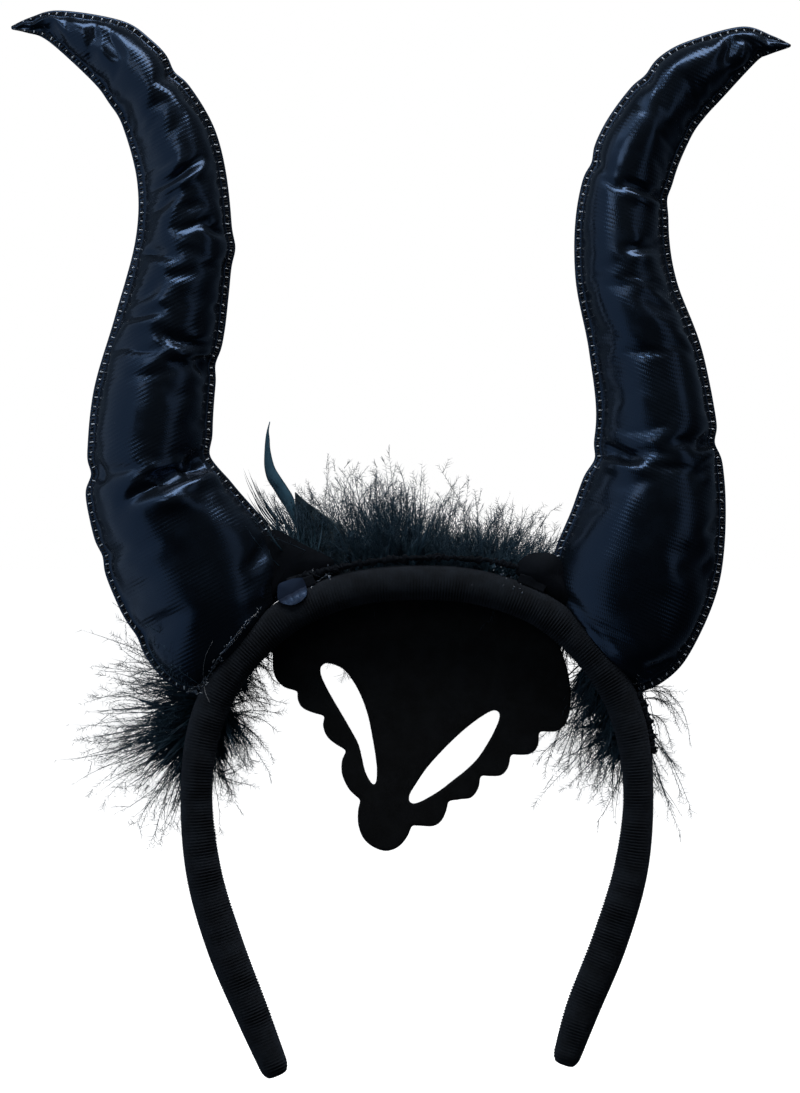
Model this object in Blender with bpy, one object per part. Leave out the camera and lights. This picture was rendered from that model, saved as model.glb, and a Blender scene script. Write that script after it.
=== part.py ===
"""Devil horns headband with a felt half mask and a marabou boa.

Seen from the back of the wearer's head, which is the -Y side: +X is to the right and +Z is up.
The origin is on the inner face of the band at its crown, where the band sits on the head.
Tables are in millimetres and the finished meshes are in metres.
"""
import math
import random

import bmesh
import bpy
import numpy as np
from mathutils import Vector

MM = 0.001
GAP = 0.3
SPLINE_STEPS = 24

# The band: its size from back to front, and its section's squareness, 2 for an ellipse.
BAND_DEPTH = 12.4
BAND_STATIONS = 46
BAND_SIDES = 14
BAND_ROUNDNESS = 2.6
BAND_END_SCALE = {0: 0.72, 1: 0.96, BAND_STATIONS - 2: 0.96, BAND_STATIONS - 1: 0.78}
BAND_END_CROWN = 0.12
BAND_ARC_RADIUS = 58.0
ARCH_FOOT_Z = -20.0

# The horns: the flat stitched edge, and how full the stuffed panels stand between the edges.
FLANGE_WIDTH = 2.2
FLANGE_THICKNESS = 1.2
HORN_STATIONS = 48
HORN_ACROSS = 10
HORN_MID_Y = 0.5
PANEL_ROUND = 2.3
PANEL_FULL = 0.72
LEAST_RISE = 0.2
FOLD_FADE_RISE = 4.0
FLANGE_SHARE_MOST = 0.22

# The felt mask: glued on the band's front at the top, drawn forward to its nose.
FELT_THICKNESS = 1.5
CUTTER_FRONT_Y = 30.0
MASK_BACK_Y = BAND_DEPTH / 2 + GAP
MASK_TIP_FORWARD = 5.0
MASK_DRAPE = 1.6
MASK_SIDE_PULL = 0.25
MASK_HEAD_Z = -10.0
MASK_FOOT_Z = -71.0
MASK_TRIM_X = 48.0
MASK_TRIM_Z = (7.0, -74.0)
MASK_COLUMNS = 15
MASK_ROWS = 13

# The boa: a cord with a lock of down on each free side of each step along it.
CORE_RADIUS = 2.5
CORE_SIDES = 8
CORE_PITCH = 4.2
LOCK_JITTER_DEG = 1.2
# Locks that point away from the head or towards it are lifted clear of the horns and the mask.
FORWARD_TILT_DEG = {0: 9.0, 180: -17.0}
LOCK_SECTIONS = (
    # share of the length, breadth against the root's, fullness against the root's
    (0.30, 2.3, 0.92),
    (0.72, 2.0, 0.80),
)

# The folded ends of vinyl at the horns' inner corners.
TAB_DEPTH = 8.4
TAB_STATIONS = 4
TAB_SHOULDER = 0.5
TAB_CROWN = 0.94
TABS = (
    # name, horn_x, height there, crown_x, height there
    ("horn_tab_left", -32.8, 4.4, -27.0, 3.6),
    ("horn_tab_right", 32.6, 5.5, 26.0, 3.0),
)

# Middle line of the band from the left leg's tip over the crown to the right leg's tip.
BAND_PATH = (
    # x, z, radial thickness
    (-39.6, -133.0, 7.6),
    (-46.4, -116.5, 9.4),
    (-54.4, -96.5, 10.4),
    (-60.3, -76.0, 9.9),
    (-62.3, -54.0, 8.9),
    (-59.6, -34.5, 9.6),
    (-51.6, -18.6, 9.9),
    (-37.6, -5.0, 9.9),
    (-19.8, 2.8, 9.8),
    (0.0, 4.9, 9.8),
    (18.6, 3.1, 9.8),
    (36.6, -4.2, 9.8),
    (51.2, -18.6, 9.8),
    (59.0, -34.5, 9.6),
    (61.4, -54.0, 8.4),
    (59.4, -75.0, 9.5),
    (53.4, -95.5, 10.0),
    (45.8, -114.5, 9.4),
    (40.6, -130.0, 7.2),
)

# Each row is one section of a stuffed horn: its seam point on the side that faces the crown,
# its seam point on the outer side, and the thickness of the stuffing between them.
HORN_LEFT = (
    # crown_x, crown_z, outer_x, outer_z, thickness
    (-114.4, 160.6, -114.2, 159.8, 1.4),
    (-108.9, 163.2, -109.8, 158.8, 3.4),
    (-100.5, 165.2, -103.9, 156.5, 7.0),
    (-83.4, 162.4, -91.6, 145.3, 14.0),
    (-75.2, 157.2, -87.0, 139.3, 16.5),
    (-67.8, 149.0, -83.0, 132.5, 18.5),
    (-56.6, 130.5, -79.0, 117.0, 21.5),
    (-52.4, 104.7, -79.5, 100.8, 23.0),
    (-53.8, 79.8, -85.1, 79.8, 25.0),
    (-57.1, 58.2, -91.3, 58.2, 26.5),
    (-57.2, 40.6, -93.2, 37.4, 27.0),
    (-51.8, 32.2, -93.0, 25.8, 28.0),
    (-41.2, 19.6, -87.4, 5.6, 27.0),
    (-38.4, 10.0, -77.6, -14.6, 22.0),
    (-38.9, 4.2, -69.2, -24.1, 16.5),
    (-39.6, -2.6, -60.2, -27.2, 11.6),
)

HORN_RIGHT = (
    # crown_x, crown_z, outer_x, outer_z, thickness
    (104.2, 155.6, 104.0, 154.8, 1.4),
    (98.8, 158.2, 97.7, 152.6, 4.0),
    (90.4, 160.7, 94.4, 150.6, 8.0),
    (75.9, 156.8, 84.8, 140.3, 15.0),
    (68.2, 152.9, 80.2, 135.3, 17.0),
    (61.6, 146.5, 76.2, 129.5, 19.0),
    (51.0, 131.6, 71.4, 117.6, 22.0),
    (44.5, 112.0, 70.0, 104.7, 23.5),
    (43.7, 90.7, 72.2, 89.6, 25.0),
    (47.6, 69.4, 79.2, 70.6, 26.0),
    (49.4, 48.2, 83.7, 48.2, 27.0),
    (43.7, 28.0, 86.0, 26.3, 28.0),
    (38.4, 15.1, 84.0, 3.9, 26.5),
    (37.4, 8.4, 75.9, -15.1, 21.0),
    (38.4, 3.2, 68.6, -22.9, 16.0),
    (39.4, -3.0, 59.8, -27.0, 11.6),
)

# Folds of the vinyl: the middle of each, the way it runs, its length and half width, and how far
# it sinks. A ridge has a negative depth. Side -1 is the panel seen from the back, +1 the other.
FOLDS_LEFT = (
    # x, z, slant_deg, length, half_width, depth, side
    (-69.5, 32.5, 22.0, 30.0, 3.0, 4.6, -1),
    (-67.5, 26.5, 14.0, 20.0, 3.4, -1.6, -1),
    (-89.5, 36.0, -70.0, 12.0, 3.0, 2.6, -1),
    (-66.5, 115.0, 31.0, 18.0, 2.6, 2.2, -1),
    (-67.5, 119.5, 31.0, 15.0, 2.6, -1.3, -1),
    (-72.5, 93.5, 58.0, 15.0, 2.8, 1.8, -1),
    (-76.5, 78.5, 25.0, 12.0, 2.8, 1.6, -1),
    (-66.0, 71.0, -24.0, 15.0, 2.8, 2.0, -1),
    (-89.5, 151.5, 66.0, 9.0, 2.6, 1.6, -1),
    (-66.0, 36.0, -16.0, 30.0, 3.2, 3.6, 1),
    (-70.0, 84.0, 18.0, 18.0, 3.0, 2.2, 1),
    (-66.0, 119.0, -28.0, 16.0, 2.8, 1.8, 1),
)

FOLDS_RIGHT = (
    # x, z, slant_deg, length, half_width, depth, side
    (55.0, 38.0, -18.0, 16.0, 3.0, 3.4, -1),
    (59.5, 34.0, -20.0, 14.0, 3.0, -1.2, -1),
    (80.5, 42.5, 24.0, 12.0, 2.8, 3.0, -1),
    (60.5, 112.5, -24.0, 14.0, 2.6, 2.0, -1),
    (60.0, 96.5, -22.0, 16.0, 2.8, 2.0, -1),
    (66.0, 80.0, -38.0, 14.0, 2.8, 1.4, -1),
    (87.0, 151.0, 80.0, 8.0, 2.6, 1.6, -1),
    (64.0, 40.0, 14.0, 28.0, 3.2, 3.6, 1),
    (60.0, 84.0, -20.0, 18.0, 3.0, 2.2, 1),
    (62.0, 116.0, 26.0, 16.0, 2.8, 1.8, 1),
)

# Places where a crease draws the stitched edge in. Edge 0 faces the crown and edge 1 is outer.
PUCKERS_LEFT = (
    # edge, z, depth, half_width
    (0, 149.0, 1.2, 2.4),
    (0, 98.5, -1.0, 3.5),
    (0, 66.0, 1.0, 3.0),
    (0, 41.0, 1.4, 3.0),
    (1, 35.0, 1.6, 2.6),
    (1, 12.0, 1.0, 2.6),
    (1, -10.5, 1.2, 2.4),
)

PUCKERS_RIGHT = (
    # edge, z, depth, half_width
    (0, 148.0, 1.0, 2.4),
    (0, 123.0, 1.0, 2.6),
    (0, 39.5, 1.6, 3.0),
    (1, 112.0, 0.8, 3.0),
    (1, 44.0, 1.5, 2.8),
)

# Corners of the mask's edge, down the left side, round the nose and up the right side. The edge
# from a corner to the next bulges out by that share of its chord.
MASK_CORNERS = (
    # x, z, bulge
    (-44.8, -9.6, 0.05),
    (-41.2, -15.4, 0.25),
    (-34.2, -25.5, 0.21),
    (-27.4, -32.5, 0.16),
    (-21.0, -42.6, 0.20),
    (-17.1, -56.0, 0.06),
    (-17.2, -63.6, 0.50),
    (-2.7, -65.4, 0.22),
    (8.0, -57.0, 0.20),
    (17.5, -51.0, 0.19),
    (26.0, -43.2, 0.22),
    (34.6, -36.8, 0.24),
    (42.6, -33.0, 0.14),
    (39.8, -13.4, 0.05),
    (36.8, -5.6, 0.0),
)
SHORT_EDGE = 9.0
SHORT_EDGE_POINTS = 3
SCALLOP_POINTS = 5
NOSE_POINTS = 10
NOSE_BULGE = 0.4
MASK_TOP_POINTS = 9

# Eye slots: upper end, lower end, width, where along it is widest, and how far its middle bows.
EYE_SLOTS = (
    # upper_x, upper_z, lower_x, lower_z, width, widest_at, bow
    (-26.6, -17.2, -11.6, -55.6, 7.6, 0.30, 2.3),
    (23.0, -30.8, -3.2, -57.6, 8.2, 0.48, 0.3),
)
SLOT_POINTS = 8
SLOT_FULL = 0.72

# The down of the boa from the left end to the right one: how far along, and how far the locks
# reach away from the head, to the front and towards the head, and how far they lean to the ends.
DOWN = (
    # along, outward, forward, inward, lean_deg
    (0.00, 33.0, 22.0, 22.0, -72.0),
    (0.04, 34.0, 24.0, 24.0, -44.0),
    (0.09, 33.0, 24.0, 22.0, -16.0),
    (0.14, 20.0, 24.0, 20.0, -13.0),
    (0.28, 16.0, 24.0, 20.0, -12.0),
    (0.33, 27.0, 25.0, 20.0, -11.0),
    (0.42, 31.0, 26.0, 20.0, -4.0),
    (0.50, 31.0, 26.0, 20.0, 0.0),
    (0.56, 16.0, 25.0, 20.0, 2.0),
    (0.60, 27.0, 25.0, 20.0, 3.0),
    (0.67, 20.0, 25.0, 20.0, 5.0),
    (0.75, 16.0, 24.0, 20.0, 6.0),
    (0.87, 18.0, 24.0, 20.0, 8.0),
    (0.94, 24.0, 24.0, 24.0, 32.0),
    (1.00, 28.0, 22.0, 22.0, 68.0),
)
BOA_FOOT_Z = -39.5
BOA_STRETCHES = (
    # name, from, to
    ("boa_left", 0.0, 0.30),
    ("boa_crown", 0.30, 0.70),
    ("boa_right", 0.70, 1.0),
)
# Stretches of the boa that pass a horn's base, and the sides that carry locks there and elsewhere.
HORN_COVER = ((0.13, 0.305), (0.695, 0.87))
COVERED_SIDES_DEG = (45, 90, 135)
OPEN_SIDES_DEG = (0, 45, 90, 135, 180)
LOCK_SHORTEST = 0.78
BOA_LIFT_MARGIN = 6.0
BOA_LIFT_BLEND = 31

# Stiff feathers from the quill's foot on the boa to the tip.
FEATHER_THICKNESS = 0.9
FEATHER_STATIONS = 14
SPEAR_FEATHER = (
    # x, y, z, width
    (-24.4, 7.3, 3.4, 0.8),
    (-27.8, 7.5, 10.0, 1.0),
    (-31.6, 7.6, 17.5, 2.2),
    (-36.4, 7.4, 26.4, 3.5),
    (-40.4, 7.0, 34.4, 3.2),
    (-42.5, 6.6, 42.0, 1.6),
    (-42.0, 6.4, 49.6, 0.4),
)
BLADE_FEATHER = (
    # x, y, z, width
    (-18.4, 7.2, 5.0, 0.8),
    (-20.4, 6.4, 9.6, 2.0),
    (-23.4, 6.0, 13.6, 5.4),
    (-27.8, 6.0, 18.8, 7.6),
    (-32.0, 6.0, 24.6, 4.6),
    (-34.6, 6.0, 29.6, 0.6),
)

MATERIALS = {
    # name: colour, roughness
    "velour": ((0.006, 0.008, 0.012), 0.9),
    "patent_vinyl": ((0.008, 0.012, 0.022), 0.25),
    "felt": ((0.005, 0.005, 0.006), 0.95),
    "marabou": ((0.010, 0.022, 0.032), 0.8),
    "stiff_feather": ((0.020, 0.070, 0.090), 0.6),
}


def clear_scene():
    """Remove every object, so that the script can run again."""
    for item in list(bpy.data.objects):
        bpy.data.objects.remove(item, do_unlink=True)


def material(name):
    """The named material, made the first time it is asked for."""
    found = bpy.data.materials.get(name)
    if found:
        return found
    colour, roughness = MATERIALS[name]
    made = bpy.data.materials.new(name)
    made.use_nodes = True
    shader = made.node_tree.nodes["Principled BSDF"]
    shader.inputs["Base Color"].default_value = (*colour, 1.0)
    shader.inputs["Roughness"].default_value = roughness
    shader.inputs["Metallic"].default_value = 0.0
    return made


def add_object(name, points, faces, material_name, smooth_deg=50.0):
    """Make one closed object from points in millimetres."""
    mesh = bpy.data.meshes.new(name)
    mesh.from_pydata([tuple(float(value) * MM for value in point) for point in points], [], faces)
    work = bmesh.new()
    work.from_mesh(mesh)
    bmesh.ops.recalc_face_normals(work, faces=work.faces)
    if work.calc_volume(signed=True) < 0:
        bmesh.ops.reverse_faces(work, faces=work.faces)
    work.to_mesh(mesh)
    work.free()
    mesh.shade_smooth()
    mesh.set_sharp_from_angle(angle=math.radians(smooth_deg))
    mesh.materials.append(material(material_name))
    made = bpy.data.objects.new(name, mesh)
    bpy.context.scene.collection.objects.link(made)
    return made


def spline(rows, count):
    """Read count evenly spaced rows from a smooth curve through the given rows.

    The first two columns are the place that sets the spacing, and every column is smoothed.
    """
    rows = np.array(rows, dtype=float)
    ends = np.vstack([2 * rows[0] - rows[1], rows, 2 * rows[-1] - rows[-2]])
    dense = []
    for index in range(1, len(ends) - 2):
        before, start, stop, after = ends[index - 1:index + 3]
        for step in np.linspace(0.0, 1.0, SPLINE_STEPS, endpoint=False):
            dense.append(0.5 * (2 * start + (stop - before) * step
                                + (2 * before - 5 * start + 4 * stop - after) * step ** 2
                                + (3 * start - before - 3 * stop + after) * step ** 3))
    dense.append(rows[-1])
    dense = np.array(dense)
    hops = np.linalg.norm(np.diff(dense[:, :2], axis=0), axis=1)
    walked = np.concatenate([[0.0], np.cumsum(hops)])
    wanted = np.linspace(0.0, walked[-1], count)
    return np.column_stack([np.interp(wanted, walked, column) for column in dense.T])


def band_frames(count):
    """Points along the band's middle line with the way that points outward, and its thickness."""
    rows = spline(BAND_PATH, count)
    path = rows[:, :2]
    along = np.gradient(path, axis=0)
    along /= np.linalg.norm(along, axis=1)[:, None]
    outward = np.column_stack([-along[:, 1], along[:, 0]])
    return path, outward, rows[:, 2]


def band_section(angle, radial_size, spare=0.0):
    """Radial and depth offset of the band's rounded section at an angle from straight outward."""
    power = 2.0 / BAND_ROUNDNESS
    cosine = math.cos(angle)
    sine = math.sin(angle)
    radial = math.copysign(abs(cosine) ** power, cosine) * (radial_size / 2 + spare)
    depth = math.copysign(abs(sine) ** power, sine) * (BAND_DEPTH / 2 + spare)
    return radial, depth


def tube_faces(rings, sides):
    """Side quads of a tube, with a fan of triangles over each end, round its own middle point."""
    faces = []
    for ring in range(rings - 1):
        for side in range(sides):
            following = (side + 1) % sides
            faces.append((ring * sides + side, ring * sides + following,
                          (ring + 1) * sides + following, (ring + 1) * sides + side))
    first_pole = rings * sides
    last_pole = first_pole + 1
    for side in range(sides):
        following = (side + 1) % sides
        faces.append((first_pole, following, side))
        faces.append((last_pole, (rings - 1) * sides + side, (rings - 1) * sides + following))
    return faces


def band_shape(spare):
    """Points and faces of the band, grown by a spare thickness when it serves as a cutter."""
    path, outward, thickness = band_frames(BAND_STATIONS)
    points = []
    angles = [2 * math.pi * side / BAND_SIDES for side in range(BAND_SIDES)]
    for station in range(BAND_STATIONS):
        scale = BAND_END_SCALE.get(station, 1.0)
        for angle in angles:
            radial, depth = band_section(angle, thickness[station], spare)
            spot = path[station] + outward[station] * radial * scale
            points.append((spot[0], depth * scale, spot[1]))
    for end, inner in ((0, 1), (-1, -2)):
        reach = path[end] + (path[end] - path[inner]) * BAND_END_CROWN
        points.append((reach[0], 0.0, reach[1]))
    return points, tube_faces(BAND_STATIONS, BAND_SIDES)


def add_headband():
    """The velour-wound band."""
    points, faces = band_shape(0.0)
    return add_object("headband", points, faces, "velour")


def add_band_cutter():
    """The band grown by the gap, which cuts each horn's foot to its seat."""
    points, faces = band_shape(GAP)
    cutter = add_object("band_cutter", points, faces, "velour")
    cutter.hide_render = True
    cutter.display_type = "WIRE"
    return cutter


def fold_sink(x, z, side, folds):
    """How far the vinyl sinks at a point of one panel, over every fold that reaches it."""
    sink = 0.0
    for fold_x, fold_z, slant, length, half_width, depth, fold_side in folds:
        if fold_side != side:
            continue
        turn = math.radians(slant)
        along = (x - fold_x) * math.cos(turn) + (z - fold_z) * math.sin(turn)
        across = -(x - fold_x) * math.sin(turn) + (z - fold_z) * math.cos(turn)
        fade = max(0.0, 1.0 - (along / (length / 2)) ** 2)
        sink += depth * fade * math.exp(-(across / half_width) ** 2)
    return sink


def pucker(edge, z, puckers):
    """How far the stitched edge is drawn in at a height."""
    drawn = 0.0
    for pucker_edge, pucker_z, depth, half_width in puckers:
        if pucker_edge == edge:
            drawn += depth * math.exp(-((z - pucker_z) / half_width) ** 2)
    return drawn


def horn_ring(row, folds, puckers):
    """One closed section of a horn: a flange at each seam and a stuffed panel on each side."""
    crown = np.array(row[0:2])
    outer = np.array(row[2:4])
    width = np.linalg.norm(outer - crown)
    across = (outer - crown) / width
    crown = crown + across * pucker(0, crown[1], puckers)
    outer = outer - across * pucker(1, outer[1], puckers)
    width = np.linalg.norm(outer - crown)
    flange = min(FLANGE_WIDTH, width * FLANGE_SHARE_MOST)
    thickness = row[4]
    half_flange = min(FLANGE_THICKNESS, thickness) / 2
    ring = []
    for side in (-1, 1):
        panel = [(crown, half_flange), (crown + across * flange, half_flange)]
        for step in range(1, HORN_ACROSS):
            lean = -math.cos(math.pi * step / HORN_ACROSS)
            spot = (crown + outer) / 2 + across * lean * (width / 2 - flange)
            rise = (1 - abs(lean) ** PANEL_ROUND) ** PANEL_FULL
            rise *= max(0.0, thickness / 2 - half_flange)
            sink = fold_sink(spot[0], spot[1], side, folds) * min(1.0, rise / FOLD_FADE_RISE)
            panel.append((spot, half_flange + max(LEAST_RISE, rise - sink)))
        panel += [(outer - across * flange, half_flange), (outer, half_flange)]
        if side == 1:
            panel.reverse()
        ring += [(spot[0], HORN_MID_Y + side * height, spot[1]) for spot, height in panel]
    return ring


def add_horn(name, rows, folds, puckers, cutter):
    """One stuffed horn, lofted through its sections and seated on the band."""
    stations = spline(rows, HORN_STATIONS)
    rings = [horn_ring(row, folds, puckers) for row in stations]
    points = [point for ring in rings for point in ring]
    for ring in (rings[0], rings[-1]):
        points.append(tuple(np.mean(ring, axis=0)))
    horn = add_object(name, points, tube_faces(len(rings), len(rings[0])), "patent_vinyl")
    seat = horn.modifiers.new("seat_on_band", "BOOLEAN")
    seat.operation = "DIFFERENCE"
    seat.solver = "EXACT"
    seat.object = cutter
    return horn


def add_tab(name, horn_x, horn_height, crown_x, crown_height):
    """The folded end of a horn's vinyl, a wedge that lies on the band's outer face."""
    path, outward, thickness = band_frames(401)
    upper = path[:, 1] > ARCH_FOOT_Z
    path = path[upper]
    outward = outward[upper]
    thickness = thickness[upper]
    points = []
    depths = np.linspace(-TAB_DEPTH / 2, TAB_DEPTH / 2, 5)
    for share in np.linspace(0.0, 1.0, TAB_STATIONS):
        station = int(np.argmin(np.abs(path[:, 0] - (horn_x + (crown_x - horn_x) * share))))
        height = horn_height + (crown_height - horn_height) * share
        reach = thickness[station] / 2 + GAP
        low = [(reach * (1 - (abs(depth) / (BAND_DEPTH / 2 + GAP)) ** BAND_ROUNDNESS)
                ** (1 / BAND_ROUNDNESS), depth) for depth in depths]
        crest = reach + height
        high = [(crest - TAB_SHOULDER * height * (depth / TAB_DEPTH * 2) ** 4, depth * TAB_CROWN)
                for _, depth in reversed(low)]
        for radial, depth in low + high:
            spot = path[station] + outward[station] * radial
            points.append((spot[0], depth, spot[1]))
    sides = 2 * len(depths)
    for base in (0, (TAB_STATIONS - 1) * sides):
        points.append(tuple(np.mean(points[base:base + sides], axis=0)))
    return add_object(name, points, tube_faces(TAB_STATIONS, sides), "patent_vinyl", 35.0)


def arc_points(start, stop, bulge, count):
    """Points from start up to, but not at, stop, on an arc that bulges to the right of the way."""
    start = np.array(start)
    chord = np.array(stop) - start
    if bulge == 0.0:
        return [start]
    length = np.linalg.norm(chord)
    side = np.array((chord[1], -chord[0])) / length
    sagitta = bulge * length
    radius = (length ** 2 / 4 + sagitta ** 2) / (2 * sagitta)
    centre = start + chord / 2 + side * (sagitta - radius)
    first = math.atan2(*(start - centre)[::-1])
    sweep = 2 * math.asin(min(1.0, length / (2 * radius)))
    if sagitta > radius:
        sweep = 2 * math.pi - sweep
    return [centre + radius * np.array((math.cos(first + turn), math.sin(first + turn)))
            for turn in np.linspace(0.0, sweep, count, endpoint=False)]


def mask_outline():
    """The scalloped edge from the corners, closed along the band's middle line at the top."""
    outline = []
    for corner, following in zip(MASK_CORNERS, MASK_CORNERS[1:]):
        span = math.dist(corner[:2], following[:2])
        count = NOSE_POINTS if corner[2] > NOSE_BULGE else SCALLOP_POINTS
        if span < SHORT_EDGE:
            count = SHORT_EDGE_POINTS
        outline += arc_points(corner[:2], following[:2], corner[2], count)
    outline.append(np.array(MASK_CORNERS[-1][:2]))
    path = band_frames(201)[0]
    left = MASK_CORNERS[0][0]
    right = MASK_CORNERS[-1][0]
    upper = path[path[:, 1] > ARCH_FOOT_Z]
    for x in np.linspace(right, left, MASK_TOP_POINTS + 2)[1:-1]:
        outline.append(np.array((x, np.interp(x, upper[:, 0], upper[:, 1]))))
    return outline


def slot_outline(slot):
    """A leaf-shaped eye slot, widest where its row says."""
    upper = np.array(slot[0:2])
    lower = np.array(slot[2:4])
    width, widest_at, bow = slot[4:7]
    along = lower - upper
    side = np.array((-along[1], along[0])) / np.linalg.norm(along)
    power = math.log(0.5) / math.log(widest_at)
    left = []
    right = []
    for step in range(1, SLOT_POINTS):
        share = 0.5 - 0.5 * math.cos(math.pi * step / SLOT_POINTS)
        half = width / 2 * math.sin(math.pi * share ** power) ** SLOT_FULL
        middle = upper + along * share + side * bow * math.sin(math.pi * share)
        left.append(middle + side * half)
        right.append(middle - side * half)
    return [upper] + left + [lower] + right[::-1]


def add_prism(name, outline, low_y, high_y):
    """A straight block with the given outline, used to cut the felt."""
    count = len(outline)
    points = [(spot[0], y, spot[1]) for y in (low_y, high_y) for spot in outline]
    faces = [tuple(range(count)), tuple(range(2 * count - 1, count - 1, -1))]
    for step in range(count):
        following = (step + 1) % count
        faces.append((step, following, count + following, count + step))
    prism = add_object(name, points, faces, "felt")
    prism.hide_render = True
    prism.display_type = "WIRE"
    return prism


def mask_back(x, z):
    """Depth of the felt's back face: on the band at the top and drawn forward to the nose."""
    drop = max(0.0, MASK_HEAD_Z - z) / (MASK_HEAD_Z - MASK_FOOT_Z)
    side_pull = MASK_SIDE_PULL * (abs(x) / MASK_TRIM_X) ** 2 * drop
    return MASK_BACK_Y + MASK_TIP_FORWARD * drop ** MASK_DRAPE - side_pull


def add_mask():
    """A sheet of felt, curved forward and cut to the scalloped outline and the eye slots."""
    outline = mask_outline()
    columns = np.linspace(-MASK_TRIM_X, MASK_TRIM_X, MASK_COLUMNS)
    rows = np.linspace(*MASK_TRIM_Z, MASK_ROWS)
    points = [(x, mask_back(x, z) + thick, z)
              for thick in (0.0, FELT_THICKNESS) for z in rows for x in columns]
    across = len(columns)
    layer = across * len(rows)
    faces = []
    for row in range(len(rows) - 1):
        for column in range(across - 1):
            corner = row * across + column
            quad = (corner, corner + 1, corner + across + 1, corner + across)
            faces.append(quad)
            faces.append(tuple(layer + index for index in reversed(quad)))
    rim = [index for index in range(across)]
    rim += [row * across + across - 1 for row in range(1, len(rows))]
    rim += [layer - 1 - step for step in range(1, across)]
    rim += [row * across for row in range(len(rows) - 2, 0, -1)]
    for index, following in zip(rim, rim[1:] + rim[:1]):
        faces.append((index, following, layer + following, layer + index))
    mask = add_object("mask", points, faces, "felt")
    trim = mask.modifiers.new("trim_to_outline", "BOOLEAN")
    trim.operation = "INTERSECT"
    trim.solver = "EXACT"
    trim.object = add_prism("mask_outline", outline, 0.0, CUTTER_FRONT_Y)
    for number, slot in enumerate(EYE_SLOTS):
        cut = mask.modifiers.new(f"eye_slot_{number}", "BOOLEAN")
        cut.operation = "DIFFERENCE"
        cut.solver = "EXACT"
        cut.object = add_prism(f"eye_slot_{number}", slot_outline(slot), -2.0,
                               CUTTER_FRONT_Y + 2.0)
    return mask


def boa_line():
    """The boa's cord on the band's front: its points, outward vectors and forward places."""
    path, outward, _ = band_frames(801)
    upper = [index for index in range(801) if path[index, 1] > BOA_FOOT_Z]
    path = path[upper]
    outward = outward[upper]
    hops = np.linalg.norm(np.diff(path, axis=0), axis=1)
    walked = np.concatenate([[0.0], np.cumsum(hops)])
    on_mask = ((path[:, 0] > MASK_CORNERS[0][0] - BOA_LIFT_MARGIN)
               & (path[:, 0] < MASK_CORNERS[-1][0] + BOA_LIFT_MARGIN))
    seat = BAND_DEPTH / 2 + GAP + np.where(on_mask, FELT_THICKNESS + GAP, 0.0)
    kernel = np.ones(BOA_LIFT_BLEND) / BOA_LIFT_BLEND
    padded = np.pad(seat, BOA_LIFT_BLEND // 2, mode="edge")
    seat = np.maximum(seat, np.convolve(padded, kernel, mode="valid"))
    return path, outward, walked / walked[-1], walked[-1], seat + CORE_RADIUS


def down_reach(along):
    """Reach outward, forward and inward, and the lean, at a place along the boa."""
    table = np.array(DOWN)
    return [np.interp(along, table[:, 0], table[:, column]) for column in range(1, 5)]


def lock_length(angle, along):
    """Length of a lock by the way it points, shorter where a horn's base is in the way."""
    outward, forward, inward, _ = down_reach(along)
    share = math.sin(angle)
    sideways = outward if math.cos(angle) > 0 else inward
    return forward * share ** 2 + sideways * (1 - share ** 2)


def boa_rings(begin, end):
    """Places along one stretch of the boa, and the middle and outward way of the cord there."""
    path, outward, share, total, middle_y = boa_line()
    count = max(3, round((end - begin) * total / CORE_PITCH) + 1)
    spare = GAP / 2 / total
    places = np.linspace(begin + (spare if begin > 0 else 0), end - (spare if end < 1 else 0), count)
    middles = []
    outs = []
    for place in places:
        spot = [np.interp(place, share, path[:, axis]) for axis in (0, 1)]
        out = [np.interp(place, share, outward[:, axis]) for axis in (0, 1)]
        middles.append(Vector((spot[0], np.interp(place, share, middle_y), spot[1])))
        outs.append(Vector((out[0], 0.0, out[1])).normalized())
    return places, middles, outs


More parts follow.
